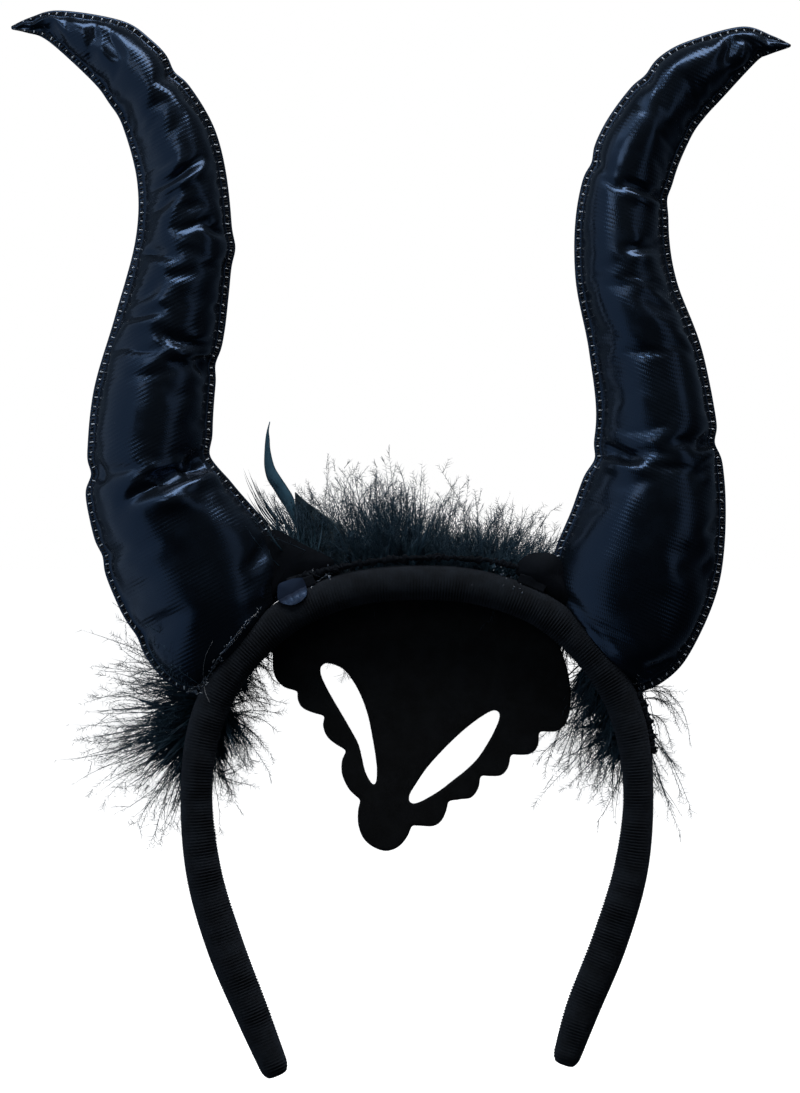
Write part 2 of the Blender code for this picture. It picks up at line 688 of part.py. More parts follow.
def add_boa(name, begin, end, seed):
    """One stretch of the boa: a cord with a lock of down drawn out of each free face."""
    chance = random.Random(seed)
    places, middles, outs = boa_rings(begin, end)
    forward = Vector((0.0, 1.0, 0.0))
    work = bmesh.new()
    grid = []
    for middle, out in zip(middles, outs):
        row = []
        for side in range(CORE_SIDES):
            angle = 2 * math.pi * (side - 0.5) / CORE_SIDES
            offset = out * math.cos(angle) + forward * math.sin(angle)
            row.append(work.verts.new((middle + offset * CORE_RADIUS) * MM))
        grid.append(row)
    free = []
    for ring in range(len(places) - 1):
        place = (places[ring] + places[ring + 1]) / 2
        covered = any(low < place < high for low, high in HORN_COVER)
        carried = COVERED_SIDES_DEG if covered else OPEN_SIDES_DEG
        for side in range(CORE_SIDES):
            following = (side + 1) % CORE_SIDES
            face = work.faces.new((grid[ring][side], grid[ring + 1][side],
                                   grid[ring + 1][following], grid[ring][following]))
            degrees = round(360 * side / CORE_SIDES)
            if degrees in carried:
                free.append((face, ring, place, degrees))
    work.faces.new(grid[0])
    work.faces.new(grid[-1][::-1])
    for face, ring, place, degrees in free:
        out = (outs[ring] + outs[ring + 1]).normalized()
        along = (middles[ring + 1] - middles[ring]).normalized()
        angle = math.radians(degrees)
        lean = math.radians(down_reach(place)[3] + chance.uniform(-1, 1) * LOCK_JITTER_DEG)
        tilt = angle + math.radians(FORWARD_TILT_DEG.get(degrees, 0.0))
        away = out * math.cos(tilt) + forward * math.sin(tilt)
        way = (away * math.cos(lean) + along * math.sin(lean)).normalized()
        length = lock_length(angle, place) * chance.uniform(LOCK_SHORTEST, 1.0)
        draw_lock(work, face, way, along, length, math.cos(angle) / BAND_ARC_RADIUS)
    bmesh.ops.recalc_face_normals(work, faces=work.faces)
    mesh = bpy.data.meshes.new(name)
    work.to_mesh(mesh)
    work.free()
    mesh.materials.append(material("marabou"))
    made = bpy.data.objects.new(name, mesh)
    bpy.context.scene.collection.objects.link(made)
    return made


def draw_lock(work, face, way, along, length, spread):
    """Draw a leaf-shaped lock out of a face of the cord, broad in its middle and pointed.

    The spread is how much wider apart two neighbours stand for each millimetre of their length.
    """
    flat = way.cross(along).normalized()
    level = flat.cross(way).normalized()
    start = face.calc_center_median()
    spans = [((corner.co - start).dot(flat), (corner.co - start).dot(level))
             for corner in face.verts]
    for share, broad, full in LOCK_SECTIONS:
        apart = 1.0 + spread * length * share
        face = bmesh.ops.extrude_discrete_faces(work, faces=[face])["faces"][0]
        seat = start + way * (length * share * MM)
        for corner, (wide, tall) in zip(face.verts, spans):
            corner.co = seat + flat * (wide * broad) + level * (tall * full * apart)
    tip = bmesh.ops.poke(work, faces=[face])["verts"][0]
    tip.co = start + way * (length * MM)


def add_feather(name, sections):
    """A stiff feather: a thin pointed vane on its quill, lofted through its sections."""
    rows = [(x, z, y, width) for x, y, z, width in sections]
    stations = spline(rows, FEATHER_STATIONS)
    along = np.gradient(stations[:, :2], axis=0)
    along /= np.linalg.norm(along, axis=1)[:, None]
    points = []
    for (x, z, y, width), (along_x, along_z) in zip(stations, along):
        half = width / 2
        for across, lift in ((-1, 0.0), (0, -1), (1, 0.0), (0, 1)):
            points.append((x - along_z * across * half, y + lift * FEATHER_THICKNESS / 2,
                           z + along_x * across * half))
    for x, z, y, _ in (stations[0], stations[-1]):
        points.append((x, y, z))
    return add_object(name, points, tube_faces(len(stations), 4), "stiff_feather", 20.0)


def main():
    """Build every piece of the headband."""
    clear_scene()
    add_headband()
    cutter = add_band_cutter()
    add_horn("horn_left", HORN_LEFT, FOLDS_LEFT, PUCKERS_LEFT, cutter)
    add_horn("horn_right", HORN_RIGHT, FOLDS_RIGHT, PUCKERS_RIGHT, cutter)
    for row in TABS:
        add_tab(*row)
    add_mask()
    for number, (name, begin, end) in enumerate(BOA_STRETCHES):
        add_boa(name, begin, end, 11 + number)
    add_feather("spear_feather", SPEAR_FEATHER)
    add_feather("blade_feather", BLADE_FEATHER)


main()
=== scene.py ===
"""Devil horns headband: the finish of every surface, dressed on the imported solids.

The frame is that of the solids: +Z up the horns and +Y to the wearer's front, so the camera
stands on the -Y side and sees the back of the headband. Tables and named sizes are in
millimetres, and finished meshes are in metres.
"""

import logging
import math
from dataclasses import dataclass
from enum import Enum
from typing import Protocol

import bpy
import numpy as np
from mathutils import Matrix, Vector, noise
from mathutils.bvhtree import BVHTree


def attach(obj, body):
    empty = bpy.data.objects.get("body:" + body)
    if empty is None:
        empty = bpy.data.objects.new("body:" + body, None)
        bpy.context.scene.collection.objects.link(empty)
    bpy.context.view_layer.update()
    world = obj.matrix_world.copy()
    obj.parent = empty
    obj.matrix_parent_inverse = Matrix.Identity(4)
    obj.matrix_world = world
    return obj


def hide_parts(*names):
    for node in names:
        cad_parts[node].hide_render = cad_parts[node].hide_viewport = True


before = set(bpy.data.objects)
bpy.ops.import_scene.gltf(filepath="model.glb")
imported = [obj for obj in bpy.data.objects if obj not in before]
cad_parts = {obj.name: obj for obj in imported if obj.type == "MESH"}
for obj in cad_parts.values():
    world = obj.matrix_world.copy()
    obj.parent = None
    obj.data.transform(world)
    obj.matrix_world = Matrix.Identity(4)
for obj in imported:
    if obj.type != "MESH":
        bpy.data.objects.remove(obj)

LOG = logging.getLogger("headband")
MM = 0.001

# The air left between pieces that lie on each other, in millimetres.
GAP = 0.3

# The photograph's size in pixels, how large a pixel is in the plane of the band, and the pixel
# that shows the part's origin.
IMAGE_SIZE = (800, 1093)
PIXEL_SIZE = 0.28
ORIGIN_PIXEL = (419.0, 600.0)


class Slot(Enum):
    """The record's material slots."""

    VELOUR = "velour"
    VINYL = "patent_vinyl"
    FELT = "felt"
    MARABOU = "marabou"
    FEATHER = "stiff_feather"


class Side(Enum):
    """The two panels of a horn."""

    BACK = -1
    FRONT = 1


SIDES = tuple(side.value for side in Side)


def at_pixel(column: float, row: float) -> tuple[float, float]:
    """The x and z in millimetres of a pixel of the photograph.

    Args:
        column: Pixels from the photograph's left edge.
        row: Pixels from its top edge.

    Returns:
        The place in the plane of the band.
    """
    return (column - ORIGIN_PIXEL[0]) * PIXEL_SIZE, (ORIGIN_PIXEL[1] - row) * PIXEL_SIZE


# Working with pieces


def deselect_all() -> None:
    """Leave nothing selected, so that an operator acts on its own piece alone."""
    bpy.ops.object.select_all(action="DESELECT")


def activate(piece: bpy.types.Object) -> None:
    """Make one piece the active one and the only one selected."""
    deselect_all()
    piece.select_set(True)
    bpy.context.view_layer.objects.active = piece


def apply_modifiers(piece: bpy.types.Object) -> None:
    """Apply every modifier of a piece, in order."""
    activate(piece)
    for modifier in list(piece.modifiers):
        bpy.ops.object.modifier_apply(modifier=modifier.name)


def face_outwards(piece: bpy.types.Object) -> None:
    """Turn every face of a piece outwards."""
    activate(piece)
    bpy.ops.object.mode_set(mode="EDIT")
    bpy.ops.mesh.select_all(action="SELECT")
    bpy.ops.mesh.normals_make_consistent(inside=False)
    bpy.ops.object.mode_set(mode="OBJECT")


def coordinates(piece: bpy.types.Object) -> np.ndarray:
    """The vertices of a piece as an array, in metres."""
    points = np.zeros(len(piece.data.vertices) * 3, np.float32)
    piece.data.vertices.foreach_get("co", points)
    return points.reshape(-1, 3).astype(float)


def normals(piece: bpy.types.Object) -> np.ndarray:
    """The vertex normals of a piece as an array."""
    vectors = np.zeros(len(piece.data.vertices) * 3, np.float32)
    piece.data.vertex_normals.foreach_get("vector", vectors)
    return vectors.reshape(-1, 3).astype(float)


def place(piece: bpy.types.Object, points: np.ndarray) -> None:
    """Move the vertices of a piece to the given places, in metres."""
    piece.data.vertices.foreach_set("co", points.astype(np.float32).ravel())
    piece.data.update()


def attribute(piece: bpy.types.Object, name: str) -> np.ndarray:
    """Read a named number of every vertex."""
    values = np.zeros(len(piece.data.vertices), np.float32)
    piece.data.attributes[name].data.foreach_get("value", values)
    return values.astype(float)


def set_attribute(piece: bpy.types.Object, name: str, values: np.ndarray) -> None:
    """Give every vertex a named number."""
    layer = piece.data.attributes.new(name, "FLOAT", "POINT")
    layer.data.foreach_set("value", np.asarray(values, np.float32))


def array_mesh(name: str, points: np.ndarray, quads: np.ndarray,
               triangles: np.ndarray) -> bpy.types.Object:
    """Make a smooth-shaded piece from arrays.

    Args:
        name: The piece's name.
        points: One row of x, y and z in metres for each vertex.
        quads: One row of four vertex numbers for each quad.
        triangles: One row of three vertex numbers for each triangle.

    Returns:
        The new piece.
    """
    mesh = bpy.data.meshes.new(name)
    corners = np.concatenate([quads.ravel(), triangles.ravel()]).astype(np.int32)
    starts = np.concatenate([np.arange(len(quads)) * 4,
                             len(quads) * 4 + np.arange(len(triangles)) * 3])
    mesh.vertices.add(len(points))
    mesh.vertices.foreach_set("co", points.astype(np.float32).ravel())
    mesh.loops.add(len(corners))
    mesh.loops.foreach_set("vertex_index", corners)
    mesh.polygons.add(len(starts))
    mesh.polygons.foreach_set("loop_start", starts.astype(np.int32))
    mesh.update(calc_edges=True)
    mesh.validate()
    mesh.shade_smooth()
    piece = bpy.data.objects.new(name, mesh)
    bpy.context.scene.collection.objects.link(piece)
    return piece


def joined_copies(name: str, model: bpy.types.Object,
                  places: list[Matrix]) -> bpy.types.Object:
    """Join a copy of a small model at every place into one piece, and delete the model.

    Args:
        name: The joined piece's name.
        model: The shape that repeats, at the origin.
        places: Where each copy goes.

    Returns:
        The joined piece.
    """
    points = coordinates(model)
    faces = [tuple(face.vertices) for face in model.data.polygons]
    quads = np.array([face for face in faces if len(face) == 4], int).reshape(-1, 4)
    triangles = np.array([face for face in faces if len(face) == 3], int).reshape(-1, 3)
    bpy.data.objects.remove(model)
    turns = np.array([np.array(spot.to_3x3()) for spot in places])
    shifts = np.array([np.array(spot.translation) for spot in places])
    moved = np.einsum("nij,kj->nki", turns, points) + shifts[:, None, :]
    first = np.arange(len(places))[:, None, None] * len(points)
    return array_mesh(name, moved.reshape(-1, 3), (quads[None] + first).reshape(-1, 4),
                      (triangles[None] + first).reshape(-1, 3))


def stood(centre: Vector, turn: Matrix) -> Matrix:
    """Where a copy of a model drawn in millimetres goes, with its own turn and sizes."""
    return Matrix.Translation(centre * MM) @ turn @ Matrix.Scale(MM, 4)


def finish_piece(piece: bpy.types.Object, slot: Slot, materials: list[bpy.types.Material],
                 *nodes: str) -> bpy.types.Object:
    """Give a piece its materials and its body, and hide the solids that it stands for.

    Args:
        piece: The finished piece, at the origin.
        slot: The record's slot. It is not used.
        materials: The piece's materials in the order of its faces' material numbers.
        nodes: The solids that it replaces.

    Returns:
        The same piece.
    """
    piece.data.materials.clear()
    for material in materials:
        piece.data.materials.append(material)
    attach(piece, "root")
    if nodes:
        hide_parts(*nodes)
    LOG.info("%s: %d faces", piece.name, len(piece.data.polygons))
    return piece


class Surface:
    """The back faces that small pieces lie on, as the camera sees them."""

    def __init__(self, pieces: list[bpy.types.Object]) -> None:
        """Keep a search tree of every piece."""
        graph = bpy.context.evaluated_depsgraph_get()
        self.trees = [BVHTree.FromObject(piece, graph) for piece in pieces]

    def depth(self, x: float, z: float, usual: float = -3.0) -> float:
        """The y of the nearest face at a place, or the usual one where there is none."""
        start = Vector((x, -60.0, z)) * MM
        hits = [tree.ray_cast(start, Vector((0.0, 1.0, 0.0)))[0] for tree in self.trees]
        return min((hit.y / MM for hit in hits if hit is not None), default=usual)


def walked_along(points: np.ndarray) -> np.ndarray:
    """How far along a line of points each point lies."""
    hops = np.linalg.norm(np.diff(points, axis=0), axis=1)
    return np.concatenate([[0.0], np.cumsum(hops)])


def read_rows(wanted: np.ndarray, grid: np.ndarray, rows: np.ndarray) -> np.ndarray:
    """Read a table between its rows.

    Args:
        wanted: Where to read.
        grid: Where each of the table's rows stands.
        rows: The table.

    Returns:
        One row of the table's columns for each place read.
    """
    return np.column_stack([np.interp(wanted, grid, column) for column in rows.T])


def spline(rows: tuple, count: int) -> np.ndarray:
    """Read evenly spaced rows from a smooth curve through a table.

    Args:
        rows: The table. Its first two columns are the place that sets the spacing.
        count: How many rows to read.

    Returns:
        One row of the table's columns for each place read.
    """
    table = np.array(rows, dtype=float)
    ends = np.vstack([2 * table[0] - table[1], table, 2 * table[-1] - table[-2]])
    dense = []
    for index in range(1, len(ends) - 2):
        before, start, stop, after = ends[index - 1:index + 3]
        for step in np.linspace(0.0, 1.0, 24, endpoint=False):
            dense.append(0.5 * (2 * start + (stop - before) * step
                                + (2 * before - 5 * start + 4 * stop - after) * step ** 2
                                + (3 * start - before - 3 * stop + after) * step ** 3))
    dense.append(table[-1])
    dense = np.array(dense)
    walked = walked_along(dense[:, :2])
    return read_rows(np.linspace(0.0, walked[-1], count), walked, dense)


def smooth_step(low: float, high: float, values: np.ndarray) -> np.ndarray:
    """A soft change from 0 at low to 1 at high."""
    share = np.clip((values - low) / (high - low), 0.0, 1.0)
    return share * share * (3 - 2 * share)


def noise_at(points: np.ndarray, size: float, seed: float = 0.0) -> np.ndarray:
    """Smooth noise from -1 to 1 at every point.

    Args:
        points: One row for each point, in the unit of size.
        size: How far apart the noise's lumps are.
        seed: Shifts the noise, so that two uses differ.

    Returns:
        One value for each point.
    """
    shift = Vector((seed, seed * 1.7, seed * 2.3))
    return np.array([noise.noise(Vector(point) / size + shift) for point in points])


# Shader parts that several finishes share


class Tree:
    """A short way to wire the nodes of one tree."""

    def __init__(self, tree: bpy.types.NodeTree) -> None:
        """Keep the tree."""
        self.tree = tree

    def add(self, kind: str, values: dict | None = None, **settings) -> bpy.types.Node:
        """Add a node.

        Args:
            kind: The node's type.
            values: Input values by name or number.
            settings: The node's own properties.

        Returns:
            The new node.
        """
        node = self.tree.nodes.new(kind)
        for key, value in settings.items():
            setattr(node, key, value)
        for key, value in (values or {}).items():
            node.inputs[key].default_value = value
        return node

    def link(self, source: bpy.types.NodeSocket, target: bpy.types.NodeSocket) -> None:
        """Join an output to an input."""
        self.tree.links.new(source, target)

    def math(self, operation: str,
             *values: bpy.types.NodeSocket | float) -> bpy.types.NodeSocket:
        """Add a Math node whose inputs are sockets or numbers, and return its output."""
        node = self.add("ShaderNodeMath", operation=operation)
        for socket, value in zip(node.inputs, values):
            if isinstance(value, bpy.types.NodeSocket):
                self.link(value, socket)
            else:
                socket.default_value = value
        return node.outputs[0]

    def noise(self, vector: bpy.types.NodeSocket, size: float, detail: float = 2.0,
              roughness: float = 0.5) -> bpy.types.NodeSocket:
        """Add a noise whose lumps are the given size in metres apart, and return its value."""
        node = self.add("ShaderNodeTexNoise", {"Scale": 1.0 / size, "Detail": detail,
                                               "Roughness": roughness})
        self.link(vector, node.inputs["Vector"])
        return node.outputs["Fac"]

    def ramp(self, value: bpy.types.NodeSocket, low: float, high: float, start: float = 0.0,
             stop: float = 1.0) -> bpy.types.NodeSocket:
        """Map a value from low..high smoothly to start..stop, and return it."""
        node = self.add("ShaderNodeMapRange", {"From Min": low, "From Max": high,
                                               "To Min": start, "To Max": stop},
                        interpolation_type="SMOOTHSTEP")
        self.link(value, node.inputs["Value"])
        return node.outputs["Result"]

    def mix_colour(self, share: bpy.types.NodeSocket, first: bpy.types.NodeSocket | tuple,
                   second: bpy.types.NodeSocket | tuple) -> bpy.types.NodeSocket:
        """Mix two colours.

        Args:
            share: How much of the second colour there is.
            first: A socket, or a colour of three numbers.
            second: Another one.

        Returns:
            The mixed colour.
        """
        node = self.add("ShaderNodeMix", data_type="RGBA")
        self.link(share, node.inputs["Factor"])
        for name, value in (("A", first), ("B", second)):
            socket = next(item for item in node.inputs
                          if item.name == name and item.type == "RGBA")
            if isinstance(value, bpy.types.NodeSocket):
                self.link(value, socket)
            else:
                socket.default_value = (*value, 1.0)
        return next(item for item in node.outputs if item.type == "RGBA")


def new_group(name: str, inputs: dict[str, float], outputs: tuple[str, ...]) -> tuple:
    """Start a shader node group that reads a vector and some numbers.

    Args:
        name: The group's name.
        inputs: The numbers that it takes, with their usual values.
        outputs: The values that it puts out.

    Returns:
        The group, its wiring, its input node and its output node.
    """
    group = bpy.data.node_groups.new(name, "ShaderNodeTree")
    group.interface.new_socket("Vector", in_out="INPUT", socket_type="NodeSocketVector")
    for key, value in inputs.items():
        socket = group.interface.new_socket(key, in_out="INPUT", socket_type="NodeSocketFloat")
        socket.default_value = value
    for key in outputs:
        group.interface.new_socket(key, in_out="OUTPUT", socket_type="NodeSocketFloat")
    wires = Tree(group)
    return group, wires, wires.add("NodeGroupInput"), wires.add("NodeGroupOutput")


def ribbed_grain_group() -> bpy.types.NodeTree:
    """Fine parallel ribs that waver a little and fade in patches, as backing shows in vinyl."""
    group, wires, source, result = new_group(
        "ribbed_grain", {"Slant": 0.5, "Pitch": 0.0011, "Waver": 0.35}, ("Height", "Strength"))
    turned = wires.add("ShaderNodeVectorRotate", rotation_type="Y_AXIS")
    wires.link(source.outputs["Vector"], turned.inputs["Vector"])
    wires.link(source.outputs["Slant"], turned.inputs["Angle"])
    split = wires.add("ShaderNodeSeparateXYZ")
    wires.link(turned.outputs[0], split.inputs[0])
    waver = wires.math("MULTIPLY", wires.noise(source.outputs["Vector"], 0.006),
                       source.outputs["Waver"])
    turns = wires.math("DIVIDE", split.outputs["Z"], source.outputs["Pitch"])
    turns = wires.math("ADD", turns, waver)
    wave = wires.math("SINE", wires.math("MULTIPLY", turns, 2 * math.pi))
    crossing = wires.math("DIVIDE", split.outputs["X"], source.outputs["Pitch"])
    crossing = wires.math("ADD", wires.math("MULTIPLY", crossing, 1.6), turns)
    dashes = wires.math("SINE", wires.math("MULTIPLY", crossing, 2 * math.pi))
    broken = wires.math("MULTIPLY_ADD", dashes, 0.25, 0.65)
    ridges = wires.math("MULTIPLY_ADD", wave, 0.5, 0.5)
    wires.link(wires.math("MULTIPLY", ridges, broken), result.inputs["Height"])
    patches = wires.ramp(wires.noise(source.outputs["Vector"], 0.012, 3.0), 0.35, 0.62)
    wires.link(patches, result.inputs["Strength"])
    return group


def fibre_group() -> bpy.types.NodeTree:
    """The tangled fibres of felt and velour: a fine height and a slow mottle of tone."""
    group, wires, source, result = new_group("fibres", {"Fineness": 4000.0},
                                             ("Height", "Mottle"))
    fine = wires.add("ShaderNodeTexNoise", {"Detail": 4.0, "Roughness": 0.7,
                                            "Distortion": 1.2})
    wires.link(source.outputs["Vector"], fine.inputs["Vector"])
    wires.link(source.outputs["Fineness"], fine.inputs["Scale"])
    wires.link(fine.outputs["Fac"], result.inputs["Height"])
    mottle = wires.ramp(wires.noise(source.outputs["Vector"], 0.005, 4.0, 0.6), 0.3, 0.7)
    wires.link(mottle, result.inputs["Mottle"])
    return group


def dust_group() -> bpy.types.NodeTree:
    """Scattered pale specks of lint."""
    group, wires, source, result = new_group("lint", {"Spacing": 0.004, "Speck": 0.05},
                                             ("Mask",))
    cells = wires.add("ShaderNodeTexVoronoi", feature="F1")
    wires.link(source.outputs["Vector"], cells.inputs["Vector"])
    wires.link(wires.math("DIVIDE", 1.0, source.outputs["Spacing"]), cells.inputs["Scale"])
    near = wires.math("LESS_THAN", cells.outputs["Distance"], source.outputs["Speck"])
    chosen = wires.ramp(wires.noise(source.outputs["Vector"], 0.009), 0.45, 0.6)
    wires.link(wires.math("MULTIPLY", near, chosen), result.inputs["Mask"])
    return group


GROUPS = {"ribbed_grain": ribbed_grain_group, "fibres": fibre_group, "lint": dust_group}


def use_group(wires: Tree, name: str, values: dict[str, float]) -> bpy.types.Node:
    """Place a shared group in a material, reading Object coordinates.

    Args:
        wires: The material's wiring.
        name: The group's name in GROUPS.
        values: The material's own numbers for it.

    Returns:
        The group's node.
    """
    group = bpy.data.node_groups.get(name) or GROUPS[name]()
    node = wires.add("ShaderNodeGroup", node_tree=group)
    for key, value in values.items():
        node.inputs[key].default_value = value
    wires.link(object_coordinates(wires), node.inputs["Vector"])
    return node


def object_coordinates(wires: Tree) -> bpy.types.NodeSocket:
    """The material's Object coordinates, from its one Texture Coordinate node."""
    found = [node for node in wires.tree.nodes if node.type == "TEX_COORD"]
    node = found[0] if found else wires.add("ShaderNodeTexCoord")
    return node.outputs["Object"]


def new_material(name: str, settings: dict) -> tuple:
    """Start a material with a Principled shader.

    Args:
        name: The material's name.
        settings: Constant values for the shader's own sockets.

    Returns:
        The material, its wiring and its shader node.
    """
    material = bpy.data.materials.new(name)
    material.use_nodes = True
    shader = material.node_tree.nodes["Principled BSDF"]
    for key, value in settings.items():
        shader.inputs[key].default_value = value
    return material, Tree(material.node_tree), shader


def add_bump(wires: Tree, shader: bpy.types.Node, height: bpy.types.NodeSocket,
             depth: float, strength: float = 1.0) -> None:
    """Raise a height over the surface, on top of any bump that is there.

    Args:
        wires: The material's wiring.
        shader: The shader that takes the normal.
        height: The height, from 0 to 1.
        depth: What a height of 1 stands for, in metres.
        strength: The bump's strength.
    """
    bump = wires.add("ShaderNodeBump", {"Distance": depth, "Strength": strength})
    wires.link(height, bump.inputs["Height"])
    for link in list(shader.inputs["Normal"].links):
        wires.link(link.from_socket, bump.inputs["Normal"])
    wires.link(bump.outputs["Normal"], shader.inputs["Normal"])


def shade(colour: tuple, share: float) -> tuple:
    """A colour, darker or paler by a share."""
    return tuple(share * part for part in colour)


def add_fibres(wires: Tree, shader: bpy.types.Node, fineness: float, roughness: tuple,
               depth: float) -> bpy.types.NodeSocket:
    """Give a cloth its tangled fibres.

    Args:
        wires: The material's wiring.
        shader: Its shader.
        fineness: How fine the fibres are.
        roughness: The least and the greatest roughness.
        depth: How high the fibres stand, in metres.

    Returns:
        The slow mottle of the cloth's tone.
    """
    fibres = use_group(wires, "fibres", {"Fineness": fineness})
    wires.link(wires.ramp(fibres.outputs["Height"], 0.3, 0.7, *roughness),
               shader.inputs["Roughness"])
    add_bump(wires, shader, fibres.outputs["Height"], depth)
    return fibres.outputs["Mottle"]


# Finishes


class Finish(Protocol):
    """What every finish has: a name, and a material that it makes."""

    name: str

    def make(self) -> bpy.types.Material:
        """Make the material."""


def made_once(finish: Finish) -> bpy.types.Material:
    """The material of a finish, made the first time that it is asked for."""
    return bpy.data.materials.get(finish.name) or finish.make()


@dataclass(frozen=True)
class PatentVinyl:
    """Glossy blue-black vinyl with the fine ribs of its backing."""

    name: str = "patent_vinyl"
    colour: tuple = (0.0042, 0.0058, 0.0082)
    grain_slant: float = math.radians(26.0)
    grain_pitch: float = 0.00108
    grain_depth: float = 0.000060
    roughness: tuple = (0.20, 0.33)

    def make(self) -> bpy.types.Material:
        """Make the material."""
        material, wires, shader = new_material(self.name, {
            "IOR": 1.5, "Specular IOR Level": 0.62, "Specular Tint": (0.28, 0.52, 1.0, 1.0),
            "Coat Weight": 0.10, "Coat Roughness": 0.16, "Coat IOR": 1.45})
        where = object_coordinates(wires)
        ribs = use_group(wires, "ribbed_grain", {"Slant": self.grain_slant,
                                                 "Pitch": self.grain_pitch})
        lint = use_group(wires, "lint", {"Spacing": 0.006, "Speck": 0.022})
        cloudy = wires.ramp(wires.noise(where, 0.016, 3.0), 0.3, 0.7)
        base = wires.mix_colour(cloudy, shade(self.colour, 0.8), shade(self.colour, 1.25))
        base = wires.mix_colour(lint.outputs["Mask"], base, (0.10, 0.11, 0.13))
        wires.link(base, shader.inputs["Base Color"])
        scuffed = wires.ramp(wires.noise(where, 0.007, 5.0, 0.6), 0.35, 0.7, *self.roughness)
        wires.link(scuffed, shader.inputs["Roughness"])
        raised = wires.math("MULTIPLY", ribs.outputs["Height"], ribs.outputs["Strength"])
        add_bump(wires, shader, raised, self.grain_depth)
        add_bump(wires, shader, wires.noise(where, 0.0009, 3.0), 0.000012)
        return material


@dataclass(frozen=True)
class SeamEdge:
    """The cut edge of the vinyl under its thread, black and duller than the panels."""

    name: str = "seam_edge"
    colour: tuple = (0.0025, 0.0028, 0.0040)

    def make(self) -> bpy.types.Material:
        """Make the material."""
        material, wires, shader = new_material(self.name, {
            "IOR": 1.48, "Specular IOR Level": 0.08, "Specular Tint": (0.6, 0.8, 1.0, 1.0)})
        mottle = add_fibres(wires, shader, 2600.0, (0.45, 0.7), 0.00008)
        base = wires.mix_colour(mottle, self.colour, shade(self.colour, 2.0))
        wires.link(base, shader.inputs["Base Color"])
        return material


@dataclass(frozen=True)
class SewingThread:
    """Spun thread, black round the edges and pale where a stitch catches the light."""

    name: str
    colour: tuple
    roughness: float = 0.42

    def make(self) -> bpy.types.Material:
        """Make the material."""
        material, wires, shader = new_material(self.name, {
            "Sheen Weight": 0.15, "Sheen Roughness": 0.4, "Specular IOR Level": 0.55})
        where = object_coordinates(wires)
        tone = wires.ramp(wires.noise(where, 0.0025, 2.0), 0.25, 0.75)
        base = wires.mix_colour(tone, shade(self.colour, 0.55), self.colour)
        wires.link(base, shader.inputs["Base Color"])
        wires.link(wires.ramp(wires.noise(where, 0.0006), 0.3, 0.7, self.roughness - 0.1,
                              self.roughness + 0.15), shader.inputs["Roughness"])
        add_bump(wires, shader, wires.noise(where, 0.00022, 3.0), 0.00003)
        return material


@dataclass(frozen=True)
class Velour:
    """Matte ribbed velour, blue-black, with lint caught in its pile and painted shade in its
    grooves.
    """

    name: str = "velour"
    colour: tuple = (0.0060, 0.0082, 0.0116)

    def make(self) -> bpy.types.Material:
        """Make the material."""
        material, wires, shader = new_material(self.name, {
            "Sheen Weight": 0.05, "Sheen Roughness": 0.55, "Sheen Tint": (0.5, 0.6, 0.85, 1.0),
            "Specular IOR Level": 0.15})
        mottle = add_fibres(wires, shader, 3800.0, (0.82, 1.0), 0.00016)
        lint = use_group(wires, "lint", {"Spacing": 0.0052, "Speck": 0.035})
        base = wires.mix_colour(mottle, shade(self.colour, 0.6), shade(self.colour, 1.4))
        # Painted shade: the grooves between the ribs are darkened to about a fifth of the velour's
        # colour.
        crest_unshaded = wires.add("ShaderNodeAttribute", attribute_name="crest_unshaded")
        groove = wires.ramp(crest_unshaded.outputs["Fac"], 0.15, 0.75)
        base = wires.mix_colour(groove, shade(self.colour, 0.22), base)
        base = wires.mix_colour(lint.outputs["Mask"], base, (0.09, 0.10, 0.12))
        wires.link(base, shader.inputs["Base Color"])
        return material


@dataclass(frozen=True)
class Felt:
    """Flat black felt, almost without shine."""

    name: str = "felt"
    colour: tuple = (0.0030, 0.0036, 0.0045)

    def make(self) -> bpy.types.Material:
        """Make the material."""
        material, wires, shader = new_material(self.name, {
            "Sheen Weight": 0.05, "Sheen Roughness": 0.6, "Specular IOR Level": 0.10})
        mottle = add_fibres(wires, shader, 2400.0, (0.85, 1.0), 0.00018)
        base = wires.mix_colour(mottle, shade(self.colour, 0.7), shade(self.colour, 1.6))
        wires.link(base, shader.inputs["Base Color"])
        return material


@dataclass(frozen=True)
class Down:
    """Marabou barbs: teal near the cord and blue-black towards the tips."""

    name: str = "marabou_down"
    root_colour: tuple = (0.013, 0.040, 0.060)
    tip_colour: tuple = (0.028, 0.056, 0.084)

    def make(self) -> bpy.types.Material:
        """Make the material."""
        material, wires, shader = new_material(self.name, {
            "Sheen Weight": 0.04, "Sheen Roughness": 0.5, "Sheen Tint": (0.4, 0.7, 0.9, 1.0),
            "Specular IOR Level": 0.2})
        along = wires.add("ShaderNodeAttribute", attribute_name="toward_tip")
        tufts = wires.ramp(wires.noise(object_coordinates(wires), 0.007, 3.0), 0.3, 0.7)
        share = wires.math("MULTIPLY_ADD", tufts, -0.35, along.outputs["Fac"])
        share = wires.ramp(share, 0.0, 0.55)
        wires.link(wires.mix_colour(share, self.root_colour, self.tip_colour),
                   shader.inputs["Base Color"])
        wires.link(wires.ramp(tufts, 0.0, 1.0, 0.5, 0.75), shader.inputs["Roughness"])
        return material


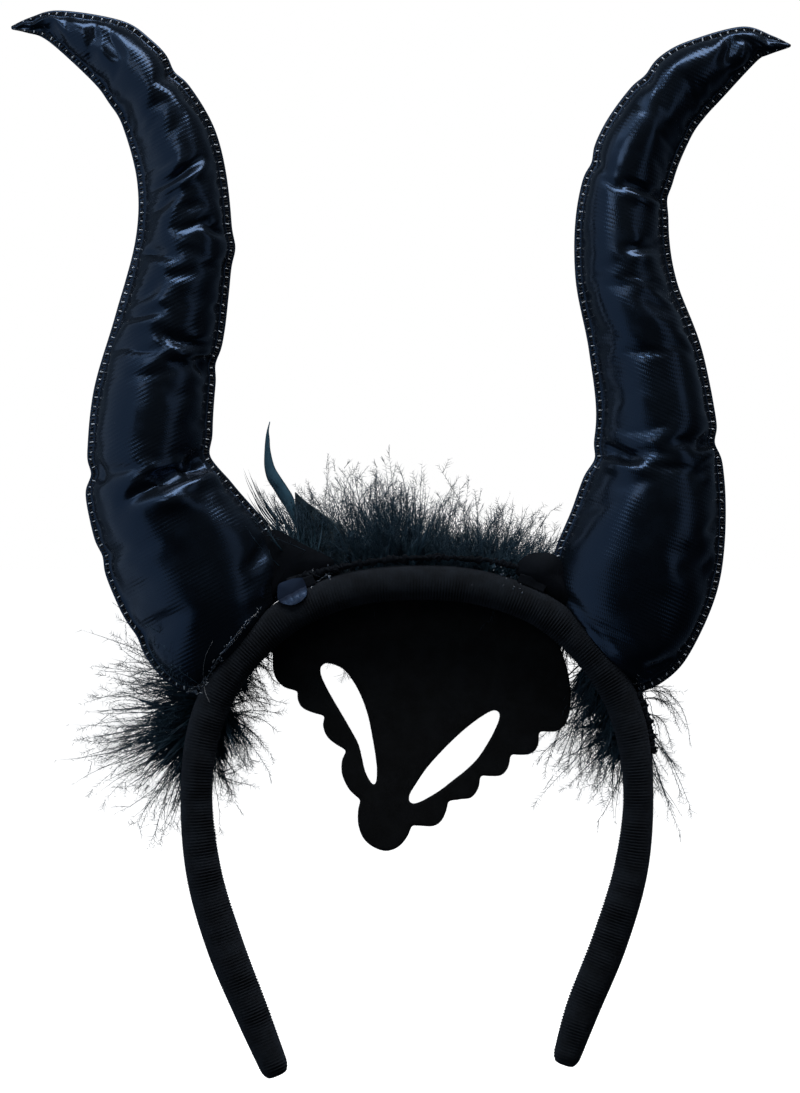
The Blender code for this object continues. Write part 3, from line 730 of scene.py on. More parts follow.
@dataclass(frozen=True)
class Vane:
    """The smooth vane of a stiff feather, dark teal with fine slanted barbs and a pale rim."""

    name: str
    colour: tuple
    rim_colour: tuple
    gloss: float = 0.45

    def make(self) -> bpy.types.Material:
        """Make the material."""
        material, wires, shader = new_material(self.name, {
            "Specular IOR Level": 0.5, "Specular Tint": (0.7, 0.9, 1.0, 1.0),
            "Sheen Weight": 0.2, "Sheen Roughness": 0.35, "Sheen Tint": (0.4, 0.7, 0.9, 1.0)})
        across = wires.add("ShaderNodeAttribute", attribute_name="from_quill")
        along = wires.add("ShaderNodeAttribute", attribute_name="toward_tip")
        outer = wires.ramp(across.outputs["Fac"], 0.72, 1.0)
        tone = wires.ramp(wires.noise(object_coordinates(wires), 0.004, 4.0), 0.3, 0.7)
        base = wires.mix_colour(tone, shade(self.colour, 0.7), self.colour)
        base = wires.mix_colour(outer, base, self.rim_colour)
        wires.link(base, shader.inputs["Base Color"])
        wires.link(wires.ramp(tone, 0.0, 1.0, self.gloss - 0.1, self.gloss + 0.1),
                   shader.inputs["Roughness"])
        barbs = wires.math("MULTIPLY_ADD", along.outputs["Fac"], 90.0,
                           wires.math("MULTIPLY", across.outputs["Fac"], -7.0))
        wave = wires.math("SINE", wires.math("MULTIPLY", barbs, 2 * math.pi))
        add_bump(wires, shader, wires.math("MULTIPLY_ADD", wave, 0.5, 0.5), 0.00003)
        return material


@dataclass(frozen=True)
class HotGlue:
    """Drops and strings of clear glue, dark over black cloth and bright where light strikes."""

    name: str = "hot_glue"
    colour: tuple = (0.020, 0.028, 0.042)

    def make(self) -> bpy.types.Material:
        """Make the material."""
        material, wires, shader = new_material(self.name, {
            "Specular IOR Level": 0.9, "Coat Weight": 1.0, "Coat Roughness": 0.04})
        where = object_coordinates(wires)
        cloudy = wires.ramp(wires.noise(where, 0.0015, 2.0), 0.45, 0.7)
        base = wires.mix_colour(cloudy, self.colour, shade(self.colour, 5.0))
        wires.link(base, shader.inputs["Base Color"])
        wires.link(wires.ramp(cloudy, 0.0, 1.0, 0.12, 0.3), shader.inputs["Roughness"])
        return material


# The velour-wound band


@dataclass
class Headband:
    """The arched band with its two legs, wound in ribbed velour."""

    depth: float = 12.4
    squareness: float = 2.6
    rib_pitch: float = 0.85
    rib_height: float = 0.20
    sides: int = 18
    end_round: float = 3.4
    fuzz_count: int = 7000
    fuzz_length: tuple = (0.30, 0.95)
    fuzz_thickness: float = 0.06
    seed: int = 5
    path: tuple = (
        # x, z, radial thickness
        (-39.6, -133.0, 7.6),
        (-46.4, -116.5, 9.4),
        (-54.4, -96.5, 10.4),
        (-60.3, -76.0, 9.9),
        (-62.3, -54.0, 8.9),
        (-59.6, -34.5, 9.6),
        (-51.6, -18.6, 9.9),
        (-37.6, -5.0, 9.9),
        (-19.8, 2.8, 9.8),
        (0.0, 4.9, 9.8),
        (18.6, 3.1, 9.8),
        (36.6, -4.2, 9.8),
        (51.2, -18.6, 9.8),
        (59.0, -34.5, 9.6),
        (61.4, -54.0, 8.4),
        (59.4, -75.0, 9.5),
        (53.4, -95.5, 10.0),
        (45.8, -114.5, 9.4),
        (40.6, -130.0, 7.2),
    )

    def frames(self, count: int) -> tuple[np.ndarray, np.ndarray, np.ndarray]:
        """Read the band's middle line.

        Args:
            count: How many places to read.

        Returns:
            The places, the way that points outward there, and the radial thickness.
        """
        rows = spline(self.path, count)
        along = np.gradient(rows[:, :2], axis=0)
        along /= np.linalg.norm(along, axis=1)[:, None]
        return rows[:, :2], np.column_stack([-along[:, 1], along[:, 0]]), rows[:, 2]

    def read(self, share: np.ndarray) -> tuple[np.ndarray, np.ndarray, np.ndarray]:
        """The middle line's places, outward ways and thickness at shares of its length."""
        places, outward, thickness = self.frames(1201)
        grid = np.linspace(0.0, 1.0, len(places))
        return (read_rows(share, grid, places), read_rows(share, grid, outward),
                np.interp(share, grid, thickness))

    def length(self) -> float:
        """The band's length along its middle line."""
        places = self.frames(801)[0]
        return float(np.linalg.norm(np.diff(places, axis=0), axis=1).sum())

    def section(self, angle: np.ndarray, thickness: np.ndarray,
                spare: float = 0.0) -> tuple[np.ndarray, np.ndarray]:
        """The rounded section at an angle from straight outward.

        Args:
            angle: Angles in radians.
            thickness: Radial thickness at each.
            spare: How much thicker the section is made all round.

        Returns:
            The radial offset and the depth.
        """
        power = 2.0 / self.squareness
        cosine = np.cos(angle)
        sine = np.sin(angle)
        return (np.sign(cosine) * np.abs(cosine) ** power * (thickness / 2 + spare),
                np.sign(sine) * np.abs(sine) ** power * (self.depth / 2 + spare))

    def clearance(self, x: float, z: float) -> float:
        """How far a place lies outside the band's outline, seen from the back."""
        places, _, thickness = self.frames(401)
        apart = np.hypot(places[:, 0] - x, places[:, 1] - z)
        return float((apart - thickness / 2).min())

    def surface_depth(self, spots: np.ndarray) -> np.ndarray:
        """How far behind the middle plane the band's back face lies at every place."""
        places, _, thickness = self.frames(201)
        apart = np.linalg.norm(spots[:, None] - places[None], axis=2)
        nearest = apart.argmin(axis=1)
        share = apart[np.arange(len(spots)), nearest] / (thickness[nearest] / 2)
        power = self.squareness
        return self.depth / 2 * (1 - np.minimum(share, 0.985) ** power) ** (1 / power)

    def rib(self) -> bpy.types.Object:
        """Model one rib: a short open ring, drawn out of a circle in four steps."""
        deselect_all()
        bpy.ops.mesh.primitive_circle_add(vertices=self.sides, radius=1.0,
                                          rotation=(0.0, math.pi / 2, 0.0))
        ring = bpy.context.object
        bpy.ops.object.transform_apply(location=False, rotation=True, scale=True)
        bpy.ops.object.mode_set(mode="EDIT")
        bpy.ops.mesh.select_all(action="SELECT")
        for _ in range(4):
            bpy.ops.mesh.extrude_region_move(
                TRANSFORM_OT_translate={"value": (self.rib_pitch / 4, 0.0, 0.0)})
        bpy.ops.object.mode_set(mode="OBJECT")
        return ring

    def wind(self, points: np.ndarray, length: float) -> np.ndarray:
        """Bend straight points over the band's path and give them its section and ribs.

        Args:
            points: Along the band, and round a circle of radius 1, in millimetres.
            length: The straight band's length.

        Returns:
            The places in millimetres.
        """
        spots, outs, wide = self.read(points[:, 0] / length)
        radial, deep = self.section(np.arctan2(points[:, 1], points[:, 2]), wide)
        from_end = np.minimum(points[:, 0], length - points[:, 0])
        rounding = np.sqrt(1 - np.clip(1 - from_end / self.end_round, 0.0, 1.0) ** 2)
        rounding = 0.55 + 0.45 * rounding
        wave = -np.cos(2 * math.pi * points[:, 0] / self.rib_pitch)
        lift = 1 + self.rib_height * wave * self.rib_share(points) / (wide / 2)
        spots = spots + outs * (radial * rounding * lift)[:, None]
        lumps = 0.10 * noise_at(np.column_stack([spots, deep]), 5.0, 4.0)
        return np.column_stack([spots[:, 0], deep * rounding * lift + lumps, spots[:, 1]])

    def rib_share(self, points: np.ndarray) -> np.ndarray:
        """How strong the ribs and the painted shade in their grooves are at points of the straight
        band: patchy, and fading outside.
        """
        patchy = 0.62 + 0.75 * noise_at(points * (1.0, 2.0, 2.0), 5.0, 2.0)
        inner = 1.0 - 0.8 * smooth_step(-0.1, 0.7, points[:, 2])
        return np.clip(patchy, 0.1, 1.0) * inner

    def build_band(self) -> bpy.types.Object:
        """Repeat the rib along the band, close its ends and bend it."""
        length = self.length()
        band = self.rib()
        band.name = band.data.name = "velour_band"
        count = int(length / self.rib_pitch)
        repeat = band.modifiers.new("ribs", "ARRAY")
        repeat.count = count
        repeat.use_relative_offset = False
        repeat.use_constant_offset = True
        repeat.constant_offset_displace = (self.rib_pitch, 0.0, 0.0)
        repeat.use_merge_vertices = True
        repeat.merge_threshold = 0.0001
        apply_modifiers(band)
        bpy.ops.object.mode_set(mode="EDIT")
        bpy.ops.mesh.select_all(action="DESELECT")
        bpy.ops.mesh.select_mode(type="EDGE")
        bpy.ops.mesh.select_non_manifold()
        bpy.ops.mesh.edge_face_add()
        bpy.ops.mesh.select_all(action="SELECT")
        bpy.ops.mesh.select_mode(type="FACE")
        bpy.ops.object.mode_set(mode="OBJECT")
        points = coordinates(band)
        wound = self.wind(points, self.rib_pitch * count)
        # This attribute paints shade into the grooves between the ribs, through the velour's
        # colour.
        groove = 0.5 + 0.5 * np.cos(2 * math.pi * points[:, 0] / self.rib_pitch)
        set_attribute(band, "crest_unshaded", 1.0 - groove * self.rib_share(points))
        place(band, wound * MM)
        self.close_ends(band)
        band.data.shade_smooth()
        return band

    def close_ends(self, band: bpy.types.Object) -> None:
        """Split the end faces into fans and turn all faces outwards."""
        activate(band)
        bpy.ops.object.mode_set(mode="EDIT")
        bpy.ops.mesh.select_all(action="DESELECT")
        bpy.ops.mesh.select_face_by_sides(number=self.sides, type="EQUAL")
        bpy.ops.mesh.poke()
        bpy.ops.object.mode_set(mode="OBJECT")
        face_outwards(band)

    def build_fuzz(self) -> bpy.types.Object:
        """Stand short fibres on the velour, all over the band."""
        chance = np.random.default_rng(self.seed)
        share = chance.uniform(0.005, 0.995, self.fuzz_count)
        angle = chance.uniform(0.0, 2 * math.pi, self.fuzz_count)
        spots, outs, wide = self.read(share)
        radial, deep = self.section(angle, wide, -0.05)
        roots = spots + outs * radial[:, None]
        roots = np.column_stack([roots[:, 0], deep, roots[:, 1]])
        way = np.column_stack([outs[:, 0] * np.cos(angle), np.sin(angle),
                               outs[:, 1] * np.cos(angle)])
        way += chance.normal(0.0, 0.55, way.shape)
        way /= np.linalg.norm(way, axis=1)[:, None]
        reach = chance.uniform(*self.fuzz_length, self.fuzz_count)
        lines = np.stack([roots, roots + way * reach[:, None]], axis=1)
        radii = np.full((self.fuzz_count, 1), self.fuzz_thickness / 2)
        return strands_piece("velour_fuzz", [(lines, radii, np.ones(self.fuzz_count))])

    def dress(self) -> bpy.types.Object:
        """Build the band and its fuzz, finish them, and return the band."""
        velour = Velour().make()
        band = finish_piece(self.build_band(), Slot.VELOUR, [velour], "headband")
        finish_piece(self.build_fuzz(), Slot.VELOUR, [velour])
        return band


# The felt mask


@dataclass
class FeltMask:
    """The half mask of black felt, scalloped below, with two eye slots."""

    band: Headband
    thickness: float = 1.5
    tip_forward: float = 5.0
    drape: float = 1.6
    side_pull: float = 0.25
    head_z: float = -10.0
    foot_z: float = -71.0
    half_width: float = 48.0
    voxel: float = 0.5
    soft_edge: float = 0.2
    fuzz_pitch: float = 0.35
    fuzz_length: tuple = (0.25, 0.6)
    lobes: tuple = (
        # column, row of points from each notch to the next
        ((261, 634), (266, 645), (272, 655)),
        ((272, 655), (272, 668), (275, 679), (282, 687), (289, 690), (297, 692)),
        ((297, 692), (297, 700), (301, 708), (310, 713), (324, 717)),
        ((324, 717), (322.5, 727), (326, 737), (333, 744), (346, 752)),
        ((346, 752), (341.5, 762), (341, 773), (344, 783), (350, 793), (360, 802)),
        ((360, 802), (357.5, 814), (358, 828), (363, 841), (373, 850), (386, 854),
         (398, 850), (407, 840), (412, 828)),
        ((412, 828), (422, 828.5), (434, 828.5), (442, 823), (447, 812), (448.5, 803)),
        ((448.5, 803), (461, 801.5), (472, 799.5), (479, 790), (481, 777)),
        ((481, 777), (491, 778), (502, 777), (509, 769), (511.5, 755.5)),
        ((511.5, 755.5), (521, 756.5), (532, 755), (539, 747), (540, 732.5)),
        ((540, 732.5), (549, 733), (559, 732), (567, 724), (571, 713)),
        ((571, 713), (572, 694), (568, 668), (560, 645), (551, 620)),
    )
    slots: tuple = (
        # column, row of points round each slot
        ((320, 668), (320.5, 675), (324, 684), (332, 699), (342, 716), (350, 730),
         (358, 745), (361.5, 758), (365, 773), (370, 783), (374, 787), (376, 783),
         (376.5, 770), (375, 756), (372, 738), (368, 718), (362, 700), (354, 684),
         (344, 671), (334, 665.5), (325, 664)),
        ((409, 800), (410, 804.5), (415, 805.5), (422, 803), (432, 797.5), (442, 791),
         (454, 781.5), (466, 772), (478, 760), (488, 745), (495, 732), (499.5, 721),
         (500, 714.5), (496, 711.5), (490, 713), (478, 720.5), (464, 731.5),
         (450, 744.5), (438, 757), (426, 771), (416, 786), (410.5, 795)),
    )

    def smooth_run(self, pixels: tuple, spacing: float = 0.45) -> list:
        """A smooth curve through pixels, as evenly spaced points in millimetres."""
        table = np.array([at_pixel(*pixel) for pixel in pixels])
        length = np.linalg.norm(np.diff(table, axis=0), axis=1).sum()
        return list(spline(tuple(map(tuple, table)), max(3, int(length / spacing))))

    def outline(self) -> list:
        """Trace the felt's edge, closed along the band's middle line at the top."""
        points = []
        for lobe in self.lobes:
            points += self.smooth_run(lobe)[:-1]
        last = np.array(at_pixel(*self.lobes[-1][-1]))
        points.append(last)
        places = self.band.frames(201)[0]
        upper = places[places[:, 1] > -20.0]
        for x in np.linspace(last[0], points[0][0], 60)[1:-1]:
            points.append(np.array((x, np.interp(x, upper[:, 0], upper[:, 1]))))
        return points

    def outlines(self) -> list[list]:
        """The felt's edge and then its slots' edges."""
        return [self.outline(), *(self.smooth_run((*slot, slot[0]))[:-1] for slot in self.slots)]

    def cut(self) -> bpy.types.Object:
        """Cut the flat felt out of its outlines, with a soft edge all round."""
        curve = bpy.data.curves.new("felt_mask", "CURVE")
        curve.dimensions = "2D"
        curve.fill_mode = "BOTH"
        curve.extrude = (self.thickness / 2 - self.soft_edge) * MM
        curve.bevel_depth = self.soft_edge * MM
        curve.offset = -self.soft_edge * MM
        curve.bevel_resolution = 1
        for outline in self.outlines():
            line = curve.splines.new("POLY")
            line.points.add(len(outline) - 1)
            for point, spot in zip(line.points, outline):
                point.co = (spot[0] * MM, spot[1] * MM, 0.0, 1.0)
            line.use_cyclic_u = True
        felt = bpy.data.objects.new("felt_mask", curve)
        bpy.context.scene.collection.objects.link(felt)
        activate(felt)
        bpy.ops.object.convert(target="MESH")
        return bpy.context.object

    def back(self, x: np.ndarray, z: np.ndarray) -> np.ndarray:
        """Depth of the felt's back face: on the band at the top and drawn forward below."""
        drop = np.maximum(0.0, self.head_z - z) / (self.head_z - self.foot_z)
        pulled = self.side_pull * (np.abs(x) / self.half_width) ** 2 * drop
        return self.band.depth / 2 + GAP + self.tip_forward * drop ** self.drape - pulled

    def build(self) -> bpy.types.Object:
        """Cut the felt, give it an even mesh, and bend it forward."""
        felt = self.cut()
        even = felt.modifiers.new("even", "REMESH")
        even.mode = "VOXEL"
        even.voxel_size = self.voxel * MM
        soften = felt.modifiers.new("soften", "SMOOTH")
        soften.factor = 0.4
        soften.iterations = 2
        apply_modifiers(felt)
        points = coordinates(felt) / MM
        x, z, through = points.T
        deep = self.back(x, z) + self.thickness / 2 - through
        deep = deep + 0.22 * noise_at(np.column_stack([x, z, z * 0]), 16.0, 5.0)
        place(felt, np.column_stack([x, deep, z]) * MM)
        face_outwards(felt)
        felt.data.shade_smooth()
        return felt

    def build_fuzz(self) -> bpy.types.Object:
        """Stand loose fibres on the felt's cut edges."""
        chance = np.random.default_rng(13)
        roots = []
        ways = []
        for outline in self.outlines():
            edge = np.array(outline)
            following = np.roll(edge, -1, axis=0)
            along = following - edge
            count = np.maximum(1, (np.linalg.norm(along, axis=1) / self.fuzz_pitch).astype(int))
            picked = np.repeat(np.arange(len(edge)), count)
            spots = edge[picked] + along[picked] * chance.random((len(picked), 1))
            side = np.column_stack([along[picked, 1], -along[picked, 0]])
            side /= np.linalg.norm(side, axis=1)[:, None] + 1e-9
            deep = self.back(spots[:, 0], spots[:, 1]) + chance.uniform(
                0.2, self.thickness - 0.2, len(spots))
            roots.append(np.column_stack([spots[:, 0], deep, spots[:, 1]]))
            ways.append(np.column_stack([side[:, 0], np.zeros(len(side)), side[:, 1]]))
        root = np.concatenate(roots)
        way = np.concatenate(ways) + chance.normal(0.0, 0.6, root.shape)
        way /= np.linalg.norm(way, axis=1)[:, None]
        reach = chance.uniform(*self.fuzz_length, len(root))[:, None]
        lines = np.stack([root - way * 0.2, root + way * reach], axis=1)
        return strands_piece("felt_fuzz", [(lines, np.full((len(root), 1), 0.03),
                                            np.ones(len(root)))])

    def area(self) -> float:
        """The flat felt's area without its slots, in square millimetres."""
        areas = []
        for outline in self.outlines():
            x, z = np.array(outline).T
            areas.append(abs(np.dot(x, np.roll(z, 1)) - np.dot(z, np.roll(x, 1))) / 2)
        return areas[0] - sum(areas[1:])

    def dress(self) -> None:
        """Build the mask and its fuzz, and finish them."""
        cloth = Felt().make()
        felt = self.build()
        finish_piece(felt, Slot.FELT, [cloth], "mask")
        edge = np.array(self.outline())
        self.area() * MM * MM
        finish_piece(self.build_fuzz(), Slot.FELT, [cloth])


# Strands of down and fuzz


def strand_tubes(lines: np.ndarray, radii: np.ndarray) -> tuple:
    """Three-sided closed tubes that taper to a point.

    Args:
        lines: For each strand its stations, of which the last is the tip.
        radii: For each strand its radius at every station but the tip.

    Returns:
        Points, quads, triangles, and how far toward the tip each point is.
    """
    count, stations = lines.shape[:2]
    rings = stations - 1
    along = np.gradient(lines, axis=1) if stations > 2 else np.repeat(
        (lines[:, 1:] - lines[:, :1]), 2, axis=1)
    along /= np.linalg.norm(along, axis=2)[:, :, None] + 1e-12
    reference = np.where(np.abs(along[:, :1, 1:2]) < 0.8, (0.0, 1.0, 0.0), (1.0, 0.0, 0.0))
    side = np.cross(along, np.broadcast_to(reference, along.shape))
    side /= np.linalg.norm(side, axis=2)[:, :, None] + 1e-12
    other = np.cross(along, side)
    corners = []
    for turn in (0.0, 2 * math.pi / 3, 4 * math.pi / 3):
        offset = side[:, :rings] * math.cos(turn) + other[:, :rings] * math.sin(turn)
        corners.append(lines[:, :rings] + offset * radii[:, :, None])
    ring_points = np.stack(corners, axis=2).reshape(count, rings * 3, 3)
    points = np.concatenate([ring_points, lines[:, -1:]], axis=1)
    size = rings * 3 + 1
    first = (np.arange(count) * size)[:, None]
    quads = []
    triangles = [np.array([(2, 1, 0)])]
    for corner in range(3):
        following = (corner + 1) % 3
        for ring in range(rings - 1):
            quads.append((ring * 3 + corner, ring * 3 + following,
                          ring * 3 + 3 + following, ring * 3 + 3 + corner))
        triangles.append(np.array([(rings * 3 - 3 + corner, rings * 3 - 3 + following,
                                    rings * 3)]))
    quads = np.array(quads, int).reshape(-1, 4)
    triangles = np.concatenate(triangles)
    tone = np.concatenate([np.repeat(np.linspace(0.0, 1.0, stations)[:-1], 3), [1.0]])
    return (points.reshape(-1, 3), (quads[None] + first[:, None]).reshape(-1, 4),
            (triangles[None] + first[:, None]).reshape(-1, 3), np.tile(tone, count))


def strands_piece(name: str, bundles: list[tuple]) -> bpy.types.Object:
    """Join bundles of strands into one piece.

    Args:
        name: The piece's name.
        bundles: Lines, radii and each strand's own tone, all in millimetres. A tone under 0
            lets a strand run from teal at its root to dark at its tip.

    Returns:
        The piece, whose attribute toward_tip runs from 0 at the roots to 1 at the tips.
    """
    points = []
    quads = []
    triangles = []
    tones = []
    first = 0
    for lines, radii, tone in bundles:
        made = strand_tubes(lines, radii)
        each = len(made[0]) // len(lines)
        own = np.repeat(tone, each)
        points.append(made[0])
        quads.append(made[1] + first)
        triangles.append(made[2] + first)
        tones.append(np.where(own < 0, made[3], own))
        first += len(made[0])
    piece = array_mesh(name, np.concatenate(points) * MM, np.concatenate(quads),
                       np.concatenate(triangles))
    set_attribute(piece, "toward_tip", np.concatenate(tones))
    return piece


def tapered(lines: np.ndarray, thick: float, thin: float) -> np.ndarray:
    """Radii for strands that taper evenly, one at every station but the tip."""
    return np.repeat(np.linspace(thick, thin, lines.shape[1] - 1)[None], len(lines), axis=0)


def perpendicular(way: np.ndarray, chance: np.random.Generator) -> np.ndarray:
    """A random direction square to each given one."""
    wild = chance.normal(0.0, 1.0, way.shape)
    wild -= way * (wild * way).sum(axis=-1, keepdims=True)
    return wild / np.linalg.norm(wild, axis=-1, keepdims=True)


@dataclass(frozen=True)
class StrandKind:
    """One kind of strand in a tuft of down."""

    per_tuft: int
    spread: float
    reach: tuple
    radius: float
    stations: int


@dataclass
class Boa:
    """The marabou boa: tufts of down that stand out of a cord along the band's front."""

    band: Headband
    felt: FeltMask
    foot_z: float = -39.5
    cord_radius: float = 2.5
    felt_from: float = -50.8
    felt_to: float = 42.8
    felt_top: float = -36.0
    plume: StrandKind = StrandKind(5, 0.28, (0.72, 1.04), 0.17, 8)
    wisp: StrandKind = StrandKind(12, 0.34, (0.40, 0.96), 0.40, 6)
    lock: StrandKind = StrandKind(3, 0.22, (0.36, 0.62), 1.15, 6)
    outer_angles: tuple = (-24.0, 38.0)
    hidden_angles: tuple = (35.0, 145.0)
    last_angle: float = 200.0
    lean_stray: float = 0.34
    root_stray: float = 1.8
    thinnest: float = 0.075
    branch_radius: float = 0.10
    branch_length: float = 7.5
    branch_lean: float = 27.0
    barbule_length: float = 3.0
    barbule_lean: float = 54.0
    barbule_radius: float = 0.082
    down: tuple = (
        # along, outward, forward, inward, lean_deg
        (0.00, 33.0, 22.0, 20.0, -72.0),
        (0.04, 34.0, 24.0, 20.0, -44.0),
        (0.09, 33.0, 24.0, 12.0, -24.0),
        (0.14, 20.0, 24.0, 7.0, -24.0),
        (0.24, 16.0, 24.0, 7.0, -20.0),
        (0.28, 18.0, 24.0, 16.0, -12.0),
        (0.33, 28.0, 25.0, 20.0, -11.0),
        (0.42, 30.0, 26.0, 20.0, -4.0),
        (0.50, 29.0, 26.0, 20.0, 0.0),
        (0.56, 12.0, 25.0, 20.0, 2.0),
        (0.61, 26.0, 25.0, 20.0, 3.0),
        (0.67, 18.0, 25.0, 20.0, 5.0),
        (0.75, 16.0, 24.0, 20.0, 6.0),
        (0.87, 18.0, 24.0, 20.0, 8.0),
        (0.94, 24.0, 24.0, 24.0, 32.0),
        (1.00, 28.0, 22.0, 22.0, 68.0),
    )
    covered: tuple = ((0.13, 0.305), (0.695, 0.87))
    pieces: tuple = (
        # name, the solid that it stands for, from, to, tufts, outward share, inner angle, seed
        ("boa_down_left", "boa_left", 0.00, 0.12, 62, 0.66, 60, 21),
        ("boa_down_left_base", "boa_left", 0.12, 0.31, 10, 0.0, 60, 22),
        ("boa_down_crown_left", "boa_crown", 0.31, 0.50, 90, 0.90, 60, 23),
        ("boa_down_crown_right", "boa_crown", 0.50, 0.70, 82, 0.90, 60, 24),
        ("boa_down_right_base", "boa_right", 0.70, 0.87, 10, 0.0, 60, 25),
        ("boa_down_right", "boa_right", 0.87, 1.00, 22, 0.0, 104, 26),
    )
    accents: tuple = (
        # root column, row, middle column, row, tip column, row, y
        (642, 694, 675, 698, 691, 735, 9.0),
        (645, 700, 668, 703, 684, 722, 8.0),
        (648, 715, 664, 722, 672, 745, 9.0),
        (650, 728, 672, 762, 695, 817, 8.5),
        (650, 735, 668, 756, 681, 772, 9.5),
        (650, 742, 664, 790, 683, 837, 8.0),
        (640, 690, 662, 688, 674, 697, 9.0),
        (650, 750, 660, 775, 668, 800, 9.0),
        (575, 705, 560, 735, 547, 771, 16.0),
        (580, 708, 571, 740, 560, 766, 15.0),
        (585, 712, 584, 745, 581, 783, 14.0),
        (595, 715, 600, 750, 602, 787, 13.0),
        (600, 712, 612, 730, 616, 748, 12.0),
        (590, 710, 577, 740, 569, 772, 14.0),
        (592, 712, 592, 742, 591, 765, 15.0),
        (215, 715, 250, 700, 277, 703, 9.0),
        (215, 718, 252, 712, 281, 716, 9.5),
        (215, 720, 246, 716, 270, 727, 9.0),
        (214, 722, 240, 725, 262, 745, 9.0),
        (212, 724, 226, 738, 231, 755, 9.5),
        (212, 770, 225, 780, 246, 786, 9.0),
        (212, 765, 222, 775, 233, 774, 9.0),
    )
    plain: tuple = (
        # root column, row, middle column, row, tip column, row, y
        (279, 528, 258, 500, 242, 467, 6.0),
        (279, 530, 257, 503, 243, 472, 5.0),
        (280, 526, 261, 500, 247, 468, 6.6),
        (281, 526, 264, 502, 249, 474, 5.6),
        (282, 524, 266, 503, 253, 480, 6.2),
        (283, 524, 270, 503, 262, 488, 6.2),
        (278, 534, 258, 512, 246, 492, 5.8),
        (279, 534, 260, 510, 250, 486, 4.8),
        (285, 524, 276, 508, 268, 492, 6.0),
        (286, 526, 279, 512, 272, 499, 5.4),
    )
    clumps: tuple = (
        # root column, row, tip column, row, y, strands, spread
        (284, 560, 268, 524, 1.0, 26, 2.2),
        (298, 560, 284, 512, 1.6, 26, 2.4),
        (314, 562, 302, 516, 3.5, 26, 2.4),
        (604, 650, 586, 690, 8.0, 34, 2.6),
        (596, 660, 574, 706, 12.0, 40, 2.6),
        (612, 680, 600, 722, 9.0, 34, 2.6),
        (186, 706, 158, 724, 8.0, 40, 2.6),
    )

    def line(self) -> tuple[np.ndarray, np.ndarray, np.ndarray]:
        """Lay the cord on the band's front, over the felt where there is felt.

        Returns:
            How far along each place is, the places, and the way outward.
        """
        places, outward, _ = self.band.frames(801)
        upper = places[:, 1] > self.foot_z
        places = places[upper]
        outward = outward[upper]
        walked = walked_along(places)
        on_felt = (places[:, 0] > self.felt_from) & (places[:, 0] < self.felt_to)
        depth = (self.band.depth / 2 + GAP + self.cord_radius
                 + np.where(on_felt, self.felt.thickness + GAP, 0.0))
        spots = np.column_stack([places[:, 0], depth, places[:, 1]])
        outs = np.column_stack([outward[:, 0], np.zeros(len(outward)), outward[:, 1]])
        return walked / walked[-1], spots, outs

    def reach(self, along: np.ndarray, angle: np.ndarray) -> tuple[np.ndarray, np.ndarray]:
        """How long the down is, and how far it leans, by place and angle round the cord."""
        table = np.array(self.down)
        outward, forward, inward, lean = (np.interp(along, table[:, 0], table[:, column])
                                          for column in range(1, 5))
        share = np.sin(angle) ** 2
        sideways = np.where(np.cos(angle) > 0, outward, inward)
        return forward * share + sideways * (1 - share), np.radians(lean)

    def tufts(self, begin: float, end: float, count: int, outward_share: float,
              inner_angle: float, chance: np.random.Generator) -> tuple:
        """Choose where tufts stand on a stretch of the cord.

        Args:
            begin: Where the stretch begins.
            end: Where it ends.
            count: How many tufts it has.
            outward_share: The share of them that stand outward.
            inner_angle: The least angle of the others, in degrees from outward.
            chance: The stretch's own random numbers.

        Returns:
            Roots, ways, lengths and the cord's own way, one row for each tuft.
        """
        share, spots, outs = self.line()
        along = np.linspace(begin, end, count, endpoint=False) + (end - begin) / count / 2
        along = along + chance.uniform(-0.5, 0.5, count) * (end - begin) / count
        hidden = np.zeros(count, bool)
        for low, high in self.covered:
            hidden |= (along > low) & (along < high)
        outer = chance.random(count) < outward_share
        angle = np.where(outer, chance.uniform(*self.outer_angles, count),
                         chance.uniform(inner_angle, self.last_angle, count))
        angle = np.radians(np.where(hidden, chance.uniform(*self.hidden_angles, count), angle))
        length, lean = self.reach(along, angle)
        root = read_rows(along, share, spots)
        out = read_rows(along, share, outs)
        cord_way = np.column_stack([out[:, 2], np.zeros(count), -out[:, 0]])
        away = out * np.cos(angle)[:, None]
        away[:, 1] += np.sin(angle)
        lean = lean + chance.normal(0.0, self.lean_stray, count)
        way = away * np.cos(lean)[:, None] + cord_way * np.sin(lean)[:, None]
        return root + away * 1.2, way, length * chance.uniform(0.84, 1.02, count), cord_way

